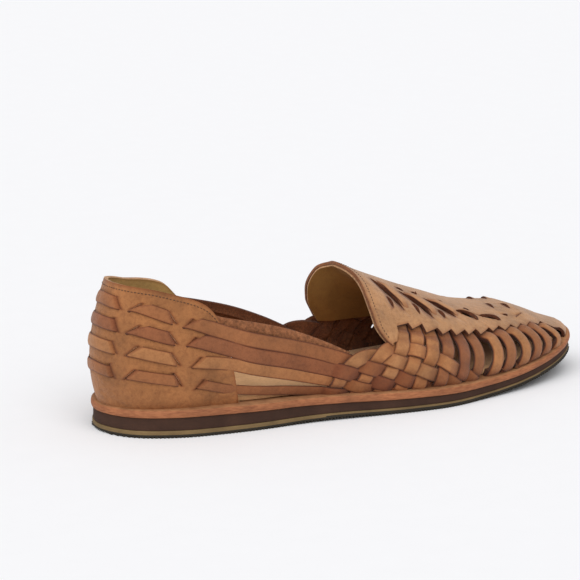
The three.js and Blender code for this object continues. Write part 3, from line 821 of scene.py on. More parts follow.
def slitSheet(name, turns, rises, lift, slits, creases, materials):
    # turns and rises are grids, one row of numbers per pattern line. A slit lies on a line between
    # two of its steps: "ahead" and "behind" are its lips' heights, "open" its width over "lens"
    lines, steps = turns.shape
    piece = flatPattern(name, lines, steps)
    cutSlits(piece, lines, steps, slits)
    at = col, row = tuple(gridPlaces(piece, lines, steps))
    lean = leanOf(piece)
    point = lastSurface(turns, rises)
    normal = lastNormal(turns, rises)
    ahead = np.gradient(point, axis=0)
    ahead /= np.maximum(np.linalg.norm(ahead, axis=2), 1e-3)[..., None]
    run, climb = (
        np.insert(np.linalg.norm(np.diff(point, axis=axis), axis=2).cumsum(axis), 0, 0, axis)
        for axis in (0, 1))
    rising = np.broadcast_to(lift, turns.shape)[at].astype(float)
    for crease in creases:
        rising = rising + pressCrease(point[at], crease)
    aside = np.zeros(len(col))
    # burnish along the sheet's edges
    edgeGap = np.minimum(np.minimum(climb, climb[:, -1:] - climb), np.minimum(run, run[-1] - run))
    shadeAndBurnish = sheetShadeAndBurnish["darkening"] * np.exp(-(edgeGap[at] / sheetShadeAndBurnish["edge"]) ** 2)
    for slit in slits:
        away = run[at] - run[slit["line"], row]
        t = np.clip((row - slit["from"]) / max(slit["to"] - slit["from"], 1), 0, 1)
        lensLow, lensHigh = slit["lens"]
        swell = np.sin(math.pi * t) ** slit["blunt"]
        gape = np.sin(math.pi * np.clip((t - lensLow) / (lensHigh - lensLow), 0, 1)) ** 0.8
        onLine = col == slit["line"]
        front = np.where(onLine, lean > 0, away > 0)
        cutHere = ~(onLine & ((row <= slit["from"]) | (row >= slit["to"])))
        rising += (np.exp(-(away / slit["reach"]) ** 2) * swell * cutHere
                   * np.where(front, slit["ahead"], slit["behind"]))
        aside += (np.exp(-(away / max(slit["open"] * 2.5, 1)) ** 2) * gape * cutHere
                  * np.where(front, 0.5, -0.5) * slit["open"])
        # painted shade at each slit, reaching as far as its shaded setting on the lip behind and
        # its lit setting ahead
        beyond = np.maximum(slit["from"] - row, row - slit["to"]).clip(0)
        rubbedAndShaded = sheetShadeAndBurnish["slit"] * np.where(front, slit["lit"], slit["shaded"])
        fading = (away / rubbedAndShaded) ** 2 + (beyond / sheetShadeAndBurnish["pastEnd"]) ** 2
        shadeAndBurnish = np.maximum(shadeAndBurnish, np.exp(-fading))
    place = point[at] + normal[at] * rising[:, None] + ahead[at] * aside[:, None]
    movePoints(piece, placed(place))
    shadeAndBurnishAttribute(piece, shadeAndBurnish)
    dress(piece, *materials)
    return piece


# ---- heel counter ----
counterSizes = {
    "lift": 2.2, "thickness": 2.3, "edge": 0.4, "lowRise": -0.02, "rows": 96,
    "over": 3.4, "under": 1.4, "dive": 2.6, "early": 0.39, "closed": 0.12,
    "lipUp": 0.45, "lipDown": -1.7,
    "slit": {"open": 0.35, "lens": (0, 1), "reach": 1.9, "blunt": 0.4, "lit": 1, "shaded": 1},
    "collar": table("x lateral medial", (5, 0.412, 0.412), (20, 0.398, 0.389), (30, 0.381, 0.371),
                    (40, 0.360, 0.361), (48, 0.340, 0.355), (53, 0.312, 0.348),
                    (56, 0.280, 0.338), (63, 0.280, 0.300)),
    "front": table("rise lateral medial", (-0.03, 67, 67), (0.11, 62, 64), (0.30, 56, 63)),
    "lines": {"centre": 14, "back": 6, "rear": 20, "fore": 7, "out": 12},
}
# slits of the counter, by strap: pairs (turn, rise) from the lower to the upper end
counterSlits = {
    "s1": {"back": ((0.025, 0.317), (0.017, 0.367)), "rear": ((0.033, 0.325), (0.044, 0.352)),
           "fore": ((0.0725, 0.270), (0.066, 0.320)), "out": ((0.0785, 0.262), (0.087, 0.294))},
    "s2": {"back": ((0.025, 0.242), (0.019, 0.292)), "rear": ((0.032, 0.248), (0.043, 0.278)),
           "fore": ((0.0725, 0.203), (0.065, 0.252)), "out": ((0.0795, 0.204), (0.0885, 0.235))},
    "s3": {"back": ((0.025, 0.172), (0.019, 0.217)), "rear": ((0.0315, 0.174), (0.042, 0.210)),
           "fore": ((0.0735, 0.138), (0.066, 0.185)), "out": ((0.0815, 0.132), (0.091, 0.168))},
    "s4": {"back": ((0.023, 0.092), (0.018, 0.142)), "rear": ((0.030, 0.098), (0.040, 0.135)),
           "fore": ((0.0755, 0.067), (0.068, 0.119)), "out": ((0.085, 0.060), (0.0935, 0.098))},
}
# creases of a sheet: side, path, height and width
heelDent = ([(14, 0.045), (30, 0.030), (46, 0.035)], 0.55, 4.0)
counterCreases = [
    ("lateral", [(39, 0.235), (42.5, 0.190)], -0.35, 1.3),
    ("lateral", [(41.5, 0.232), (45, 0.188)], 0.30, 1.5),
    ("lateral", *heelDent),
    ("lateral", [(4, 0.075), (6, 0.030), (12, 0.000)], -0.35, 1.6),
    ("medial", *heelDent),
    ("medial", [(40, 0.160), (44, 0.120)], -0.30, 1.5),
]


def counterRises(side, turn):
    # the rises of a pattern line's points, from under the sole's edge up to the collar
    size = counterSizes
    x = featherPoint(turn if side == "lateral" else -turn)[..., 0]
    top = column(size["collar"], side, x)
    share = np.linspace(0, 1, size["rows"])
    return size["lowRise"] + share * (top - size["lowRise"])


def counterHalf(side):
    # turns of the pattern lines of one half, and the line on which each kind of slit lies. A line's
    # rises depend on its own turns, so a few passes settle both
    size = counterSizes
    passes = 4
    anchors = [np.zeros(size["rows"])]
    for kind in ("back", "rear", "fore", "out"):
        ends = [end for name in ("s4", "s3", "s2", "s1") for end in counterSlits[name][kind]]
        turns, rises = zip(*ends)
        line = np.full(size["rows"], turns[-1])
        for _ in range(passes):
            line = np.interp(counterRises(side, line), rises, turns)
        anchors.append(line)
    line = np.full(size["rows"], 0.1)
    for _ in range(passes):
        turn = turnAt(side, column(size["front"], side, counterRises(side, line), "rise"))
        line = turn if side == "lateral" else 1 - turn
    anchors.append(line)
    turns, lineOf = [], {}
    for (kind, count), low, high in zip(size["lines"].items(), anchors, anchors[1:]):
        lineOf[kind] = len(turns)
        turns += [low + (high - low) * j / count for j in range(count)]
    return np.array(turns + [anchors[-1]]), lineOf


def counterSlitList(rises, middle, lineOf):
    size = counterSizes
    slits = []
    for parts in counterSlits.values():
        for kind, (low, high) in parts.items():
            # the end beyond the strap's corner stays closed
            span = (high[1] - low[1]) * size["closed"]
            if kind in ("rear", "out"):
                lips, ends = (size["lipDown"], size["lipUp"]), (low[1], high[1] - span)
            else:
                lips, ends = (size["lipUp"], size["lipDown"]), (low[1] + span, high[1])
            for way in (1, -1):
                line = middle + way * lineOf[kind]
                start, stop = (int(np.abs(rises[line] - end).argmin()) for end in ends)
                ahead, behind = lips[::way]
                slits.append({**size["slit"], "line": line, "from": start, "to": stop,
                              "ahead": ahead, "behind": behind})
    return slits


def heelCounter():
    size = counterSizes
    outer, lineOf = counterHalf("lateral")
    inner = counterHalf("medial")[0][:0:-1]
    turns = np.vstack((-inner, outer))
    rises = np.array([counterRises("medial", line) for line in inner]
                     + [counterRises("lateral", line) for line in outer])
    slits = counterSlitList(rises, len(inner), lineOf)
    sheet = slitSheet("heelCounter", turns, rises, size["lift"], slits, counterCreases,
                      (leathers["counter"], collarLining, paleEdge))
    thicken(sheet, size["thickness"], size["edge"])
    keep(sheet, "upper")
    print("heel counter:", len(sheet.data.polygons), "faces,", len(slits), "slits")


# ---- vamp ----
vampSizes = {
    "lift": 3.0, "thickness": 1.8, "edge": 0.25, "rows": 56, "linePitch": 1.4, "rimRise": 0.262,
    "toeLines": 6, "toothLift": 0.6, "rimEnd": 158.0, "rimDrop": 2.0, "rimBehind": (148, 176),
    "toeSink": 2.2, "gaugeRises": (0.62, 0.72, 0.82), "toothRise": 55,
    "rim": table("rise lateral medial", (0.24, 159, 153), (0.30, 152, 148), (0.38, 149, 142.5),
                 (0.50, 149, 140), (0.66, 149.5, 142), (0.82, 148.5, 147), (1.00, 147.5, 147.5)),
}
# pattern lines of the vamp from its toothed edge to the top line, as (x, rise)
vampLines = [
    [(159.0, 0.290), (157.5, 0.47), (157.5, 0.62), (154, 0.73), (152, 0.80), (152, 1)],
    [(161.1, 0.340), (161.2, 0.47), (161.5, 0.56), (161.5, 0.65), (157.5, 0.73),
     (154.5, 0.80), (154.5, 1)],
    [(161.5, 0.390), (163, 0.50), (164, 0.535), (165.3, 0.60), (165, 0.65), (160.5, 0.73),
     (157, 0.80), (157.5, 1)],
    [(169.3, 0.431), (171, 0.54), (168, 0.65), (164, 0.73), (160.5, 0.80), (161, 1)],
    [(170.7, 0.392), (173, 0.55), (172, 0.65), (168, 0.73), (165, 0.80), (165.5, 1)],
    [(178.1, 0.447), (178, 0.54), (176.5, 0.65), (172, 0.73), (169.5, 0.80), (170, 1)],
    [(178.8, 0.380), (180, 0.535), (181, 0.59), (180.5, 0.645), (176, 0.72), (172.5, 0.77),
     (172.5, 0.80), (173, 1)],
    [(187.0, 0.430), (188, 0.52), (186, 0.63), (181, 0.71), (175, 0.77), (175.5, 0.80), (176, 1)],
    [(188.9, 0.381), (192.5, 0.54), (190.5, 0.65), (185, 0.73), (179, 0.78), (178, 0.805),
     (179, 1)],
    [(196.4, 0.434), (196.5, 0.545), (196.5, 0.59), (195, 0.64), (190, 0.71), (185, 0.77),
     (184, 0.80), (184, 1)],
    [(198.2, 0.381), (200.5, 0.55), (199, 0.64), (194, 0.71), (188.3, 0.76), (187.5, 0.805),
     (188, 1)],
    [(206.3, 0.441), (205.5, 0.59), (201.5, 0.66), (196.5, 0.72), (190.5, 0.76),
     (190.5, 0.80), (191, 1)],
    [(207.7, 0.394), (210.5, 0.58), (207, 0.66), (202, 0.72), (198, 0.78), (198, 1)],
    [(214.9, 0.461), (215, 0.58), (211, 0.64), (206.5, 0.70), (202.5, 0.775), (202.5, 1)],
    [(216.8, 0.406), (221, 0.56), (222, 0.60), (215.5, 0.645), (209, 0.68), (206.5, 0.76),
     (206.5, 1)],
    [(225.5, 0.494), (225.5, 0.60), (221, 0.65), (216, 0.70), (212, 0.78), (212, 1)],
    [(227.2, 0.444), (229.5, 0.59), (225, 0.645), (218.5, 0.69), (215.5, 0.77), (216, 1)],
    [(233.5, 0.516), (234, 0.59), (229.5, 0.63), (222.5, 0.675), (219, 0.76), (219, 1)],
    [(236.4, 0.447), (238.5, 0.595), (232, 0.635), (225.5, 0.665), (221.5, 0.76), (221.5, 1)],
    [(243.0, 0.523), (244, 0.61), (242, 0.66), (240, 0.72), (238, 0.80), (238, 1)],
    [(245.4, 0.450), (248, 0.61), (246, 0.67), (245, 0.70), (243, 0.80), (243, 1)],
    [(250.9, 0.516), (251, 0.61), (250, 0.68), (248.5, 0.76), (248, 1)],
    [(254.3, 0.456), (252.2, 0.60), (251.8, 0.635), (255, 0.66), (258, 0.685), (254, 0.80),
     (253, 1)],
    [(258.3, 0.516), (259, 0.60), (260.5, 0.685), (259, 0.80), (257, 1)],
    [(265.4, 0.449), (265.5, 0.62), (266, 0.80), (264, 1)],
    [(270.9, 0.501), (271, 0.64), (270, 0.80), (268, 1)],
    [(274.0, 0.407), (274.5, 0.64), (273.5, 0.80), (272, 1)],
    [(276.4, 0.320), (277, 0.62), (276, 0.80), (275, 1)],
    [(278.4, 0.285), (279, 0.62), (278.3, 0.80), (278, 1)],
    [(280.4, 0.262), (280.8, 0.62), (280.2, 0.80), (280, 1)],
    [(281.2, 0.200), (282, 0.62), (281.5, 0.80), (281.3, 1)],
    [(281.9, 0.110), (283, 0.62), (282.6, 0.80), (282.5, 1)],
    [(282.8, 0.040), (284, 0.62), (283.6, 0.80), (283.6, 1)],
    [(284.0, -0.02), (285, 0.62), (284.8, 0.80), (284.8, 1)],
]
# the leaves of the braid: the sheet is low where a ribbon is raised ahead of the slit
leafSlit = {"lens": (0.10, 1.0), "ahead": 0.3, "behind": -1.1, "reach": 3.4,
            "blunt": 0.6, "lit": 1, "shaded": 2.0, "ribbon": 0.9, "rise": 4.3}
bareSlit = {"lens": (0.1, 1.0), "ahead": 2.2, "behind": -1.0, "reach": 4.6, "blunt": 0.6,
            "lit": 0.4, "shaded": 2.0}
tongueSlit = {"lens": (0, 1), "ahead": 0.9, "behind": -0.7, "reach": 2.2, "blunt": 0.6,
              "lit": 0.5, "shaded": 1.6}
holeSlit = {"lens": (0, 1), "ahead": 0.3, "behind": -0.5, "reach": 2.0, "blunt": 0.7,
            "lit": 0.7, "shaded": 1}
tipSlit = {"lens": (0, 1), "ahead": 1.1, "behind": -0.2, "reach": 2.8, "blunt": 0.9,
           "lit": 0.5, "shaded": 1}
# each slit: its kind, the pattern line that it lies on, its rises from the lower end, its opening
vampSlits = [{**kind, "line": line, "rises": rises, "open": wide} for kind, line, rises, wide in (
    (leafSlit, 3, (0.540, 0.805), 2.9), (leafSlit, 7, (0.520, 0.770), 2.9),
    (leafSlit, 11, (0.585, 0.760), 2.9), (bareSlit, 14, (0.600, 0.685), 2.0),
    (bareSlit, 18, (0.595, 0.670), 1.9), (tongueSlit, 2, (0.530, 0.650), 0.6),
    (tongueSlit, 6, (0.535, 0.645), 0.6), (tongueSlit, 9, (0.545, 0.635), 0.6),
    (holeSlit, 8, (0.780, 0.830), 3.0), (holeSlit, 10, (0.785, 0.830), 3.0),
    (holeSlit, 13, (0.755, 0.795), 2.6), (holeSlit, 17, (0.735, 0.775), 2.4),
    (holeSlit, 20, (0.665, 0.705), 2.6), (holeSlit, 22, (0.632, 0.688), 1.5),
    (tipSlit, 20, (0.820, 0.945), 0.15), (tipSlit, 22, (0.800, 0.930), 0.15))]
vampCreases = [(side, *crease) for side in sides for crease in (
    ([(171, 0.54), (174, 0.50)], -0.4, 1.6), ([(188, 0.52), (191, 0.48)], -0.4, 1.6),
    ([(205.5, 0.59), (209, 0.54)], -0.35, 1.6),
    ([(165, 0.47), (205, 0.50), (245, 0.57)], 0.45, 4.0),
    ([(240, 0.63), (262, 0.62)], -0.4, 3.0), ([(152, 0.40), (156, 0.62), (155, 0.80)], 0.3, 2.5))]


def vampLineX(number, side, rise):
    # line 0 is the throat's rim
    if number == 0:
        return column(vampSizes["rim"], side, rise, "rise")
    xs, rises = zip(*vampLines[number - 1])
    return np.interp(rise, rises, xs)


def vampLow(number):
    return vampLines[number - 1][0][1] if number else vampSizes["rimRise"]


def vampHalf(side):
    # grids of turns and rises of one half, and the grid row at which each pattern line starts
    size = vampSizes
    share = np.linspace(0, 1, size["rows"] + 1)
    grid, starts = [], []
    last = len(vampLines)
    for k in range(last):
        low, nextLow = vampLow(k), vampLow(k + 1)
        widest = max(abs(vampLineX(k + 1, "lateral", rise) - vampLineX(k, "lateral", rise))
                     for rise in (max(low, nextLow), *size["gaugeRises"]))
        tooth = abs(nextLow - low) * size["toothRise"]
        count = max(1, round(max(widest, tooth) / size["linePitch"]))
        starts.append(len(grid))
        for t in np.arange(count) / count:
            start = low + (nextLow - low) * t
            rise = start + (1 - start) * share
            x = (vampLineX(k, side, np.maximum(rise, low)) * (1 - t)
                 + vampLineX(k + 1, side, np.maximum(rise, nextLow)) * t)
            grid.append((turnAt(side, x), rise))
    starts.append(len(grid))
    rise = vampLow(last) + (1 - vampLow(last)) * share
    tip = featherPoint(0.5)[0]
    for t in np.linspace(0, 1, size["toeLines"]):
        grid.append((turnAt(side, vampLineX(last, side, rise) * (1 - t) + tip * t), rise))
    turns, rises = np.array(grid).transpose(1, 0, 2)
    turns[-1] = 0.5
    return turns, rises, starts


def rimFall(turn, rise):
    # the top of the throat's rim lies lower than the last's own crown
    behind = 1 - ease(*vampSizes["rimBehind"], featherPoint(turn)[..., 0])
    return vampSizes["rimDrop"] * behind * ease(0.70, 1, rise)


def vampLift(turn, rise):
    # the toothed edge stands a little prouder than the middle
    size = vampSizes
    return size["lift"] + size["toothLift"] * (1 - ease(0.38, 0.62, rise)) - rimFall(turn, rise)


def vamp():
    size = vampSizes
    outerTurns, outerRises, starts = vampHalf("lateral")
    innerTurns, innerRises, _ = vampHalf("medial")
    turns = np.hstack((outerTurns, innerTurns[:, -2::-1]))
    rises = np.hstack((outerRises, innerRises[:, -2::-1]))
    whole = turns.shape[1] - 1
    slits = []
    for slit in vampSlits:
        line = starts[slit["line"] + 1]
        start, stop = (int(np.abs(outerRises[line] - rise).argmin()) for rise in slit["rises"])
        slits.append({**slit, "line": line, "from": start, "to": stop})
        slits.append({**slit, "line": line, "from": whole - stop, "to": whole - start,
                      "lens": tuple(1 - end for end in slit["lens"][::-1])})
    # the toe end sinks to the sole
    lift = vampLift(turns, rises) - size["toeSink"] * (1 - ease(-0.02, 0.25, rises))
    sheet = slitSheet("vamp", turns, rises, lift, slits, vampCreases,
                      (leathers["vamp"], flesh, rawEdgeAndShade, midEdge))
    weld(sheet, 0.00002)
    thicken(sheet, size["thickness"], size["edge"])
    # the rim's cut edge takes the brown raw edge; the teeth's keep the darkest raw edge, which also
    # paints the shade line under the teeth
    rimEnd = heelBack.x + size["rimEnd"] / 1000
    for face in sheet.data.polygons:
        if face.material_index == 2 and face.center.x < rimEnd:
            face.material_index = 3
    keep(sheet, "upper")
    print("vamp:", len(sheet.data.polygons), "faces,", len(slits), "slits")


# ribbons of the braid, one ahead of each long leaf slit: both ends are tucked under the sheet.
# "crest" is the part of the length where it is raised, "shape" its width along its length
ribbonSizes = {"shape": [(0, 3.4), (0.4, 6.2), (0.75, 5.27), (1, 2.4)], "ahead": 4.3,
               "beyond": 0.022, "crest": (0.30, 0.62), "tucked": 2.2, "thickness": 1.5,
               "pitch": 0.8}


def ribbons(side):
    size = ribbonSizes
    for k, slit in enumerate(slit for slit in vampSlits if "ribbon" in slit):
        low, high = slit["rises"]
        rises = np.linspace(high + size["beyond"], low - size["beyond"], 9)
        wide = slit["ribbon"]
        xs = vampLineX(slit["line"] + 1, side, rises) + size["ahead"] * wide
        rail = railOf(side, list(zip(xs, rises)))
        length = rail["run"][-1]
        knots = [(-4, size["tucked"], 0), (length + 1, size["tucked"], 0)]
        knots += [(length * share, slit["rise"], 0) for share in size["crest"]]
        widths = [(share, width * wide) for share, width in size["shape"]]
        strap(f"ribbon{k + 1}.{side}", rail, widths, knots, leathers["ribbon"], size["thickness"],
              pitch=size["pitch"])


throatLining = {"grid": (56, 81), "front": 246, "lowRise": 0.250, "frontRise": 0.52, "rimGap": 0.4,
                "rimLift": 1.15, "lift": -1.4, "slope": 14, "thickness": 1.1, "edge": 0.2}


def liningSheet():
    # pigskin under the vamp's rear, from the rim forward
    size = throatLining
    piece = flatPattern("throatLining", *size["grid"])
    flat = pointsOf(piece)
    up = 1 - np.abs(2 * flat[:, 1] - 1)
    rise = size["lowRise"] + (size["frontRise"] - size["lowRise"]) * flat[:, 0]
    rise = rise + (1 - rise) * up
    turn, away = np.zeros((2, len(flat)))
    for side, here in zip(sides, (flat[:, 1] < 0.5, flat[:, 1] >= 0.5)):
        rim = column(vampSizes["rim"], side, rise[here], "rise") + size["rimGap"]
        x = rim + (size["front"] - rim) * flat[here, 0]
        turn[here] = turnAt(side, x)
        away[here] = x - rim
    lift = size["rimLift"] + (size["lift"] - size["rimLift"]) * ease(0, size["slope"], away)
    lift = lift - rimFall(turn, rise)
    movePoints(piece, placed(lastSurface(turn, rise) + lastNormal(turn, rise) * lift[:, None]))
    dress(piece, throatLeather, throatLeather, paleEdge)
    thicken(piece, size["thickness"], size["edge"])
    keep(piece, "upper")


# ---- sole ----
# spine: the line along the foot on which a layer's two sides meet, from and to, and how much of
# the last's own ridge it follows
soleSizes = {"around": 300, "footbed": 3.2, "footbedInset": 2.6, "spine": (40, 250),
             "spineRidge": 0.4, "weltTopSlope": 0.80}


def soleRing(name, section, materials):
    # one closed layer: a section (how far in, share of the way to the spine, height) swept round
    # the sole's outline
    count = soleSizes["around"]
    piece = flatPattern(name, count + 1, len(section))
    flat = pointsOf(piece)
    steps = np.round(flat[:, 0] * count) % count / count * planSteps
    ring = np.round(flat[:, 1] * (len(section) - 1)).astype(int)
    points = np.zeros((len(flat), 3))
    for k, (inset, toSpine, height) in enumerate(section):
        here = ring == k
        plan = insetPlan(inset if callable(inset) else lambda x: inset)
        loop = np.vstack((plan, plan[:1]))
        x, y = (np.interp(steps[here], planStarts, loop[:, axis]) for axis in (0, 1))
        # both sides meet at the same points of the spine, so that the layer closes there
        facing = np.interp((planSteps - steps[here]) % planSteps, planStarts, loop[:, 0])
        spineX = np.clip((x + facing) / 2, *soleSizes["spine"])
        spineY = column(lastSections, "ridge", spineX) * soleSizes["spineRidge"]
        x = x + (spineX - x) * toSpine
        y = y + (spineY - y) * toSpine
        points[here] = np.stack((x, y, height(x)), 1)
    movePoints(piece, placed(points))
    dress(piece, *materials)
    weld(piece)
    editAll(piece, lambda: bpy.ops.mesh.dissolve_degenerate(threshold=0.000001),
            lambda: bpy.ops.mesh.normals_make_consistent(inside=False))
    return piece


def layerSection(bottom, top, inset, roundTop, roundBottom, bulge=0.0):
    # from the middle of the top, over the edge, to the middle of the bottom
    section = [(inset + 9, share, top) for share in (1.0, 0.6, 0.25, 0)]
    section += [(inset + 4, 0, top), (inset + roundTop * 1.6, 0, top)]
    for angle in np.radians((30, 60, 90)):
        drop = roundTop * (1 - math.cos(angle))
        section.append((inset + roundTop * (1 - math.sin(angle)), 0, lambda x, d=drop: top(x) - d))
    for part in (0.35, 0.65):
        section.append((inset - bulge * math.sin(math.pi * part), 0, lambda x, p=part: (
            (top(x) - roundTop) * (1 - p) + (bottom(x) + roundBottom) * p)))
    for angle in np.radians((0, 45, 90)):
        rise = roundBottom * (1 - math.sin(angle))
        section.append((inset + roundBottom * (1 - math.cos(angle)), 0,
                        lambda x, r=rise: bottom(x) + r))
    section.append((inset + 3, 0, bottom))
    return section + [(inset + 9, share, bottom) for share in (0, 0.25, 0.6, 1.0)]


def boardLeather(name, colour, speckle, rough=0.6):
    # packed layers: fine streaks along the edge, a cloudy tone
    material, tree, shader, place = newMaterial(name, {"Specular IOR Level": 0.3})
    stretch = tree.nodes.new("ShaderNodeMapping")
    stretch.inputs["Scale"].default_value = (0.35, 0.35, 1.8)
    tree.links.new(place, stretch.inputs["Vector"])
    streak = noiseNode(tree, stretch.outputs["Vector"], 700, 5, 0.65)
    cloud = noiseNode(tree, place, 70, 3, 0.5)
    tone = rampNode(tree, cloud, [(0.3, shade(colour, 0.80)), (0.7, shade(colour, 1.16))])
    tone = stainAndShade(tree, tone, speckle, streak, [(0.32, (0.55, 0.45, 0.42)), (0.58, clean)])
    finishShader(tree, shader, tone, (streak, rough, rough + 0.22), streak, 0.4, 0.0003)
    return material


def footbedSection():
    edge = lambda extra: (
        lambda x: column(lastSections, "ledge", x) + soleSizes["footbedInset"] + extra)
    top = lambda drop: (lambda x: seatHeight(x) + soleSizes["footbed"] - drop)
    section = [(edge(12), share, top(0.9)) for share in (1.0, 0.6, 0.25)]
    section += [(edge(inset), 0, top(drop)) for inset, drop in (
        (12, 0.6), (5, 0.2), (1.5, 0), (0.5, 0.3), (0, 0.9), (0, 2.6))]
    section.append((edge(0.5), 0, seatHeight))
    return section + [(edge(12), share, seatHeight) for share in (0, 0.6, 1.0)]


def sole():
    weltTop = boardLeather("welt top", (0.400, 0.190, 0.085), 0.6)
    weltEdge = boardLeather("welt edge", (0.385, 0.145, 0.060), 0.8, 0.55)
    foam = boardLeather("dark foam", (0.056, 0.026, 0.016), 0.3, 0.78)
    gum = boardLeather("gum rubber", (0.200, 0.130, 0.055), 0.3, 0.60)
    # the rubber darkened as painted shade, for the tread ribs and the outsole's lower edge
    treadShade = boardLeather("painted shade rubber", (0.032, 0.026, 0.018), 0.3, 0.72)
    footbedSkin = nubuck("footbed leather", (0.80, 0.46, 0.22), contrast=0.7, nap=0.6)
    slip = lastSizes["fitGap"] * 0.2
    topOf = {name: partial(layerTop, name) for name in ("outsole", "midsole", "welt")}
    welt = soleRing("weltBoard", layerSection(
        topOf["midsole"], topOf["welt"], 0, 1.1, 0.5, 0.15), (weltTop, weltEdge))
    for face in welt.data.polygons:
        face.material_index = 0 if face.normal.z > soleSizes["weltTopSlope"] else 1
    midsole = soleRing("midsoleFoam", layerSection(
        topOf["outsole"], lambda x: topOf["midsole"](x) - slip, 0.9, 0.5, 0.3, -0.15), (foam,))
    outsole = soleRing("outsoleRubber", layerSection(
        lambda x: floorRise(x) + treadSizes["rubberFrom"], lambda x: topOf["outsole"](x) - slip,
        0.5, 0.4, 0.2), (gum, treadShade))
    # painted shade on the outsole's edge below the tread's dark height
    for face in outsole.data.polygons:
        height = face.center.z - floorRise((face.center.x - heelBack.x) * 1000) / 1000
        face.material_index = 1 if height < treadSizes["darkBelow"] / 1000 else 0
    footbed = soleRing("footbed", footbedSection(), (footbedSkin,))
    layers = {"welt": welt, "midsole": midsole, "outsole": outsole, "insole": footbed}
    for node, piece in layers.items():
        smoothShade(piece, 50)
        keep(piece, node)
    tread(treadShade)
    print("sole:", {piece.name: len(piece.data.polygons) for piece in layers.values()})


treadSizes = {"pitch": 1.9, "bar": 1.15, "height": 0.95, "inset": 0.55, "floorGap": 0.02,
              "taper": 0.7, "rubberFrom": 0.8, "darkBelow": 2.0}


def tread(material):
    # fine ribs across the underside, whose ends notch the rubber's lower edge
    size = treadSizes
    plan = insetPlan(lambda x: size["inset"])
    half = planSteps // 2
    outer, inner = plan[:half + 1], np.vstack((plan[half:], plan[:1]))[::-1]
    bars = []
    for x in np.arange(3, lastSizes["soleLength"] - 2, size["pitch"]):
        ends = [np.interp(x, side[:, 0], side[:, 1]) for side in (outer, inner)]
        bpy.ops.mesh.primitive_cube_add(size=1)
        bar = bpy.context.object
        shape = pointsOf(bar)
        low = shape[:, 2] < 0
        across = ends[0] + (ends[1] - ends[0]) * (shape[:, 1] + 0.5)
        along = x + shape[:, 0] * np.where(low, size["bar"] * size["taper"], size["bar"])
        high = floorRise(along) + np.where(low, size["floorGap"], size["height"])
        movePoints(bar, placed(np.stack((along, across, high), 1)))
        bars.append(bar)
    ribs = joined("treadRibs", bars)
    dress(ribs, material)
    keep(ribs, "outsole")


def joined(name, pieces):
    bpy.ops.object.select_all(action="DESELECT")
    for piece in pieces:
        piece.select_set(True)
    bpy.context.view_layer.objects.active = pieces[0]
    bpy.ops.object.join()
    whole = bpy.context.object
    whole.name = whole.data.name = name
    return whole


# ---- stitches ----
stitchSizes = {"pitch": 1.9, "length": 1.45, "thick": 0.50, "flat": 0.8, "proud": 0.05,
               "collarInset": 0.020, "collar": (62, 56), "rimInset": 2.6, "rimFrom": 0.30,
               "rimProud": 0.1}


def stitchRow(name, points, normals, material):
    size = stitchSizes
    run = runOf(points)
    bpy.ops.object.select_all(action="DESELECT")
    bpy.ops.mesh.primitive_uv_sphere_add(segments=6, ring_count=4, radius=0.5)
    first = bpy.context.object
    shape = np.array([size["length"], size["thick"], size["thick"] * size["flat"]])
    movePoints(first, pointsOf(first) * shape / 1000)
    made = []
    for place in np.arange(size["pitch"] / 2, run[-1] - 0.5, size["pitch"]):
        here, ahead, up = (
            np.array([np.interp(at, run, rows[:, k]) for k in range(3)])
            for at, rows in ((place, points), (place + 0.5, points), (place, normals)))
        along = Vector(ahead - here).normalized()
        across = Vector(up).cross(along).normalized()
        turn = Matrix((along, across, along.cross(across))).transposed().to_4x4()
        copy = first.copy()
        copy.data = first.data.copy()
        copy.data.transform(Matrix.Translation(Vector(placed(here))) @ turn)
        bpy.context.scene.collection.objects.link(copy)
        made.append(copy)
    bpy.data.objects.remove(first)
    row = joined(name, made)
    dress(row, material)
    bpy.ops.object.shade_smooth()
    keep(row, "upper")
    print(name + ":", len(made), "stitches")


def stitches():
    size = stitchSizes
    thread, tree, shader, place = newMaterial("waxed thread", {"Roughness": 0.6})
    feed(tree, shader.inputs["Base Color"], rampNode(tree, noiseNode(tree, place, 3000, 2), [
        (0.3, (0.040, 0.016, 0.008)), (0.7, (0.090, 0.038, 0.018))]))
    inner, outer = size["collar"]
    turn = np.linspace(-(1 - turnAt("medial", inner)), turnAt("lateral", outer), 400)
    x = featherPoint(turn)[:, 0]
    tops = [column(counterSizes["collar"], side, x) for side in sides]
    rise = np.where(turn > 0, *tops) - size["collarInset"]
    normal = lastNormal(turn, rise)
    points = lastSurface(turn, rise) + normal * (counterSizes["lift"] + size["proud"])
    stitchRow("collarStitches", points, normal, thread)
    rises = np.linspace(size["rimFrom"], 1.0, 200)
    points, ups = [], []
    for side in sides:
        turn = turnAt(side, column(vampSizes["rim"], side, rises, "rise") + size["rimInset"])
        up = lastNormal(turn, rises)
        points.append(lastSurface(turn, rises)
                      + up * (vampLift(turn, rises) + size["rimProud"])[:, None])
        ups.append(up)
    stitchRow("throatStitches", *(np.vstack((rows[0], rows[1][::-1])) for rows in (points, ups)),
              thread)


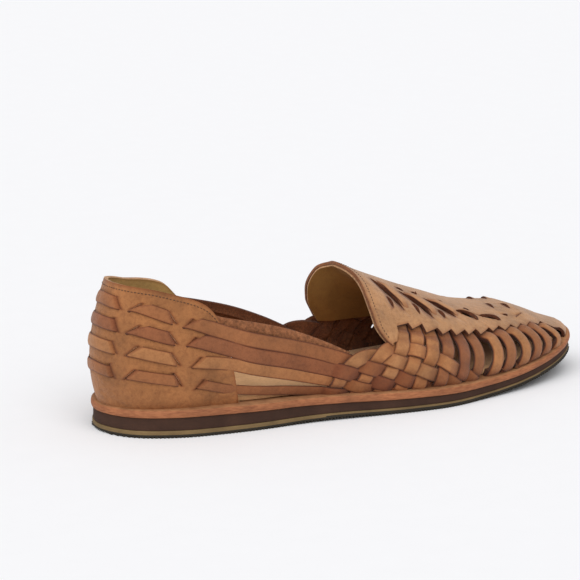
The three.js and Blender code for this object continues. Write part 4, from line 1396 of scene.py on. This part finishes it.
# ---- studio ----
studio = {"azimuth": -30, "elevation": 13, "distance": 1.6, "lens": 183.0, "sensor": 36,
          "target": (0.11758, 0.0, 0.06262), "room": 0.505, "sun": 1.95, "sunAngle": 75,
          "sunFrom": (-0.45, -0.55, 1.0)}


def studioSet():
    bpy.ops.object.select_all(action="DESELECT")
    bpy.ops.mesh.primitive_plane_add(size=14, location=(0, 0, 0))
    floor = bpy.context.object
    floor.name = "floor"
    paper, tree, shader, place = newMaterial("seamless paper", {
        "Roughness": 0.95, "Specular IOR Level": 0.0})
    feed(tree, shader.inputs["Base Color"], rampNode(tree, noiseNode(tree, place, 60, 2), [
        (0.2, (0.925, 0.926, 0.945)), (0.8, (0.935, 0.936, 0.955))]))
    dress(floor, paper)
    world = bpy.data.worlds.new("soft room")
    bpy.context.scene.world = world
    world.use_nodes = True
    background = world.node_tree.nodes["Background"]
    background.inputs["Color"].default_value = (1.0, 1.0, 1.0, 1)
    background.inputs["Strength"].default_value = studio["room"]
    bpy.ops.object.light_add(type="SUN", location=studio["sunFrom"])
    sun = bpy.context.object
    sun.name = "overhead softbox"
    sun.data.energy = studio["sun"]
    sun.data.angle = math.radians(studio["sunAngle"])
    sun.rotation_euler = (-Vector(studio["sunFrom"])).to_track_quat("-Z", "Y").to_euler()
    azimuth, elevation = math.radians(studio["azimuth"]), math.radians(studio["elevation"])
    back = Vector((math.sin(azimuth) * math.cos(elevation),
                   -math.cos(azimuth) * math.cos(elevation), math.sin(elevation)))
    target = Vector(studio["target"]) + heelBack
    bpy.ops.object.camera_add(location=target + back * studio["distance"])
    camera = bpy.context.object
    camera.rotation_euler = (-back).to_track_quat("-Z", "Y").to_euler()
    camera.data.lens = studio["lens"]
    camera.data.sensor_width = studio["sensor"]
    camera.data.clip_start = 0.01
    bpy.context.scene.camera = camera
    bpy.context.scene.view_settings.view_transform = "Standard"
    print("studio ready")


studioSet()
sole()
heelCounter()
woven = {side: plait(side) for side in sides}
for name in heelStraps:
    heelStrap(name, woven["medial"][name], woven["lateral"][name])
vamp()
for side in sides:
    ribbons(side)
liningSheet()
stitches()
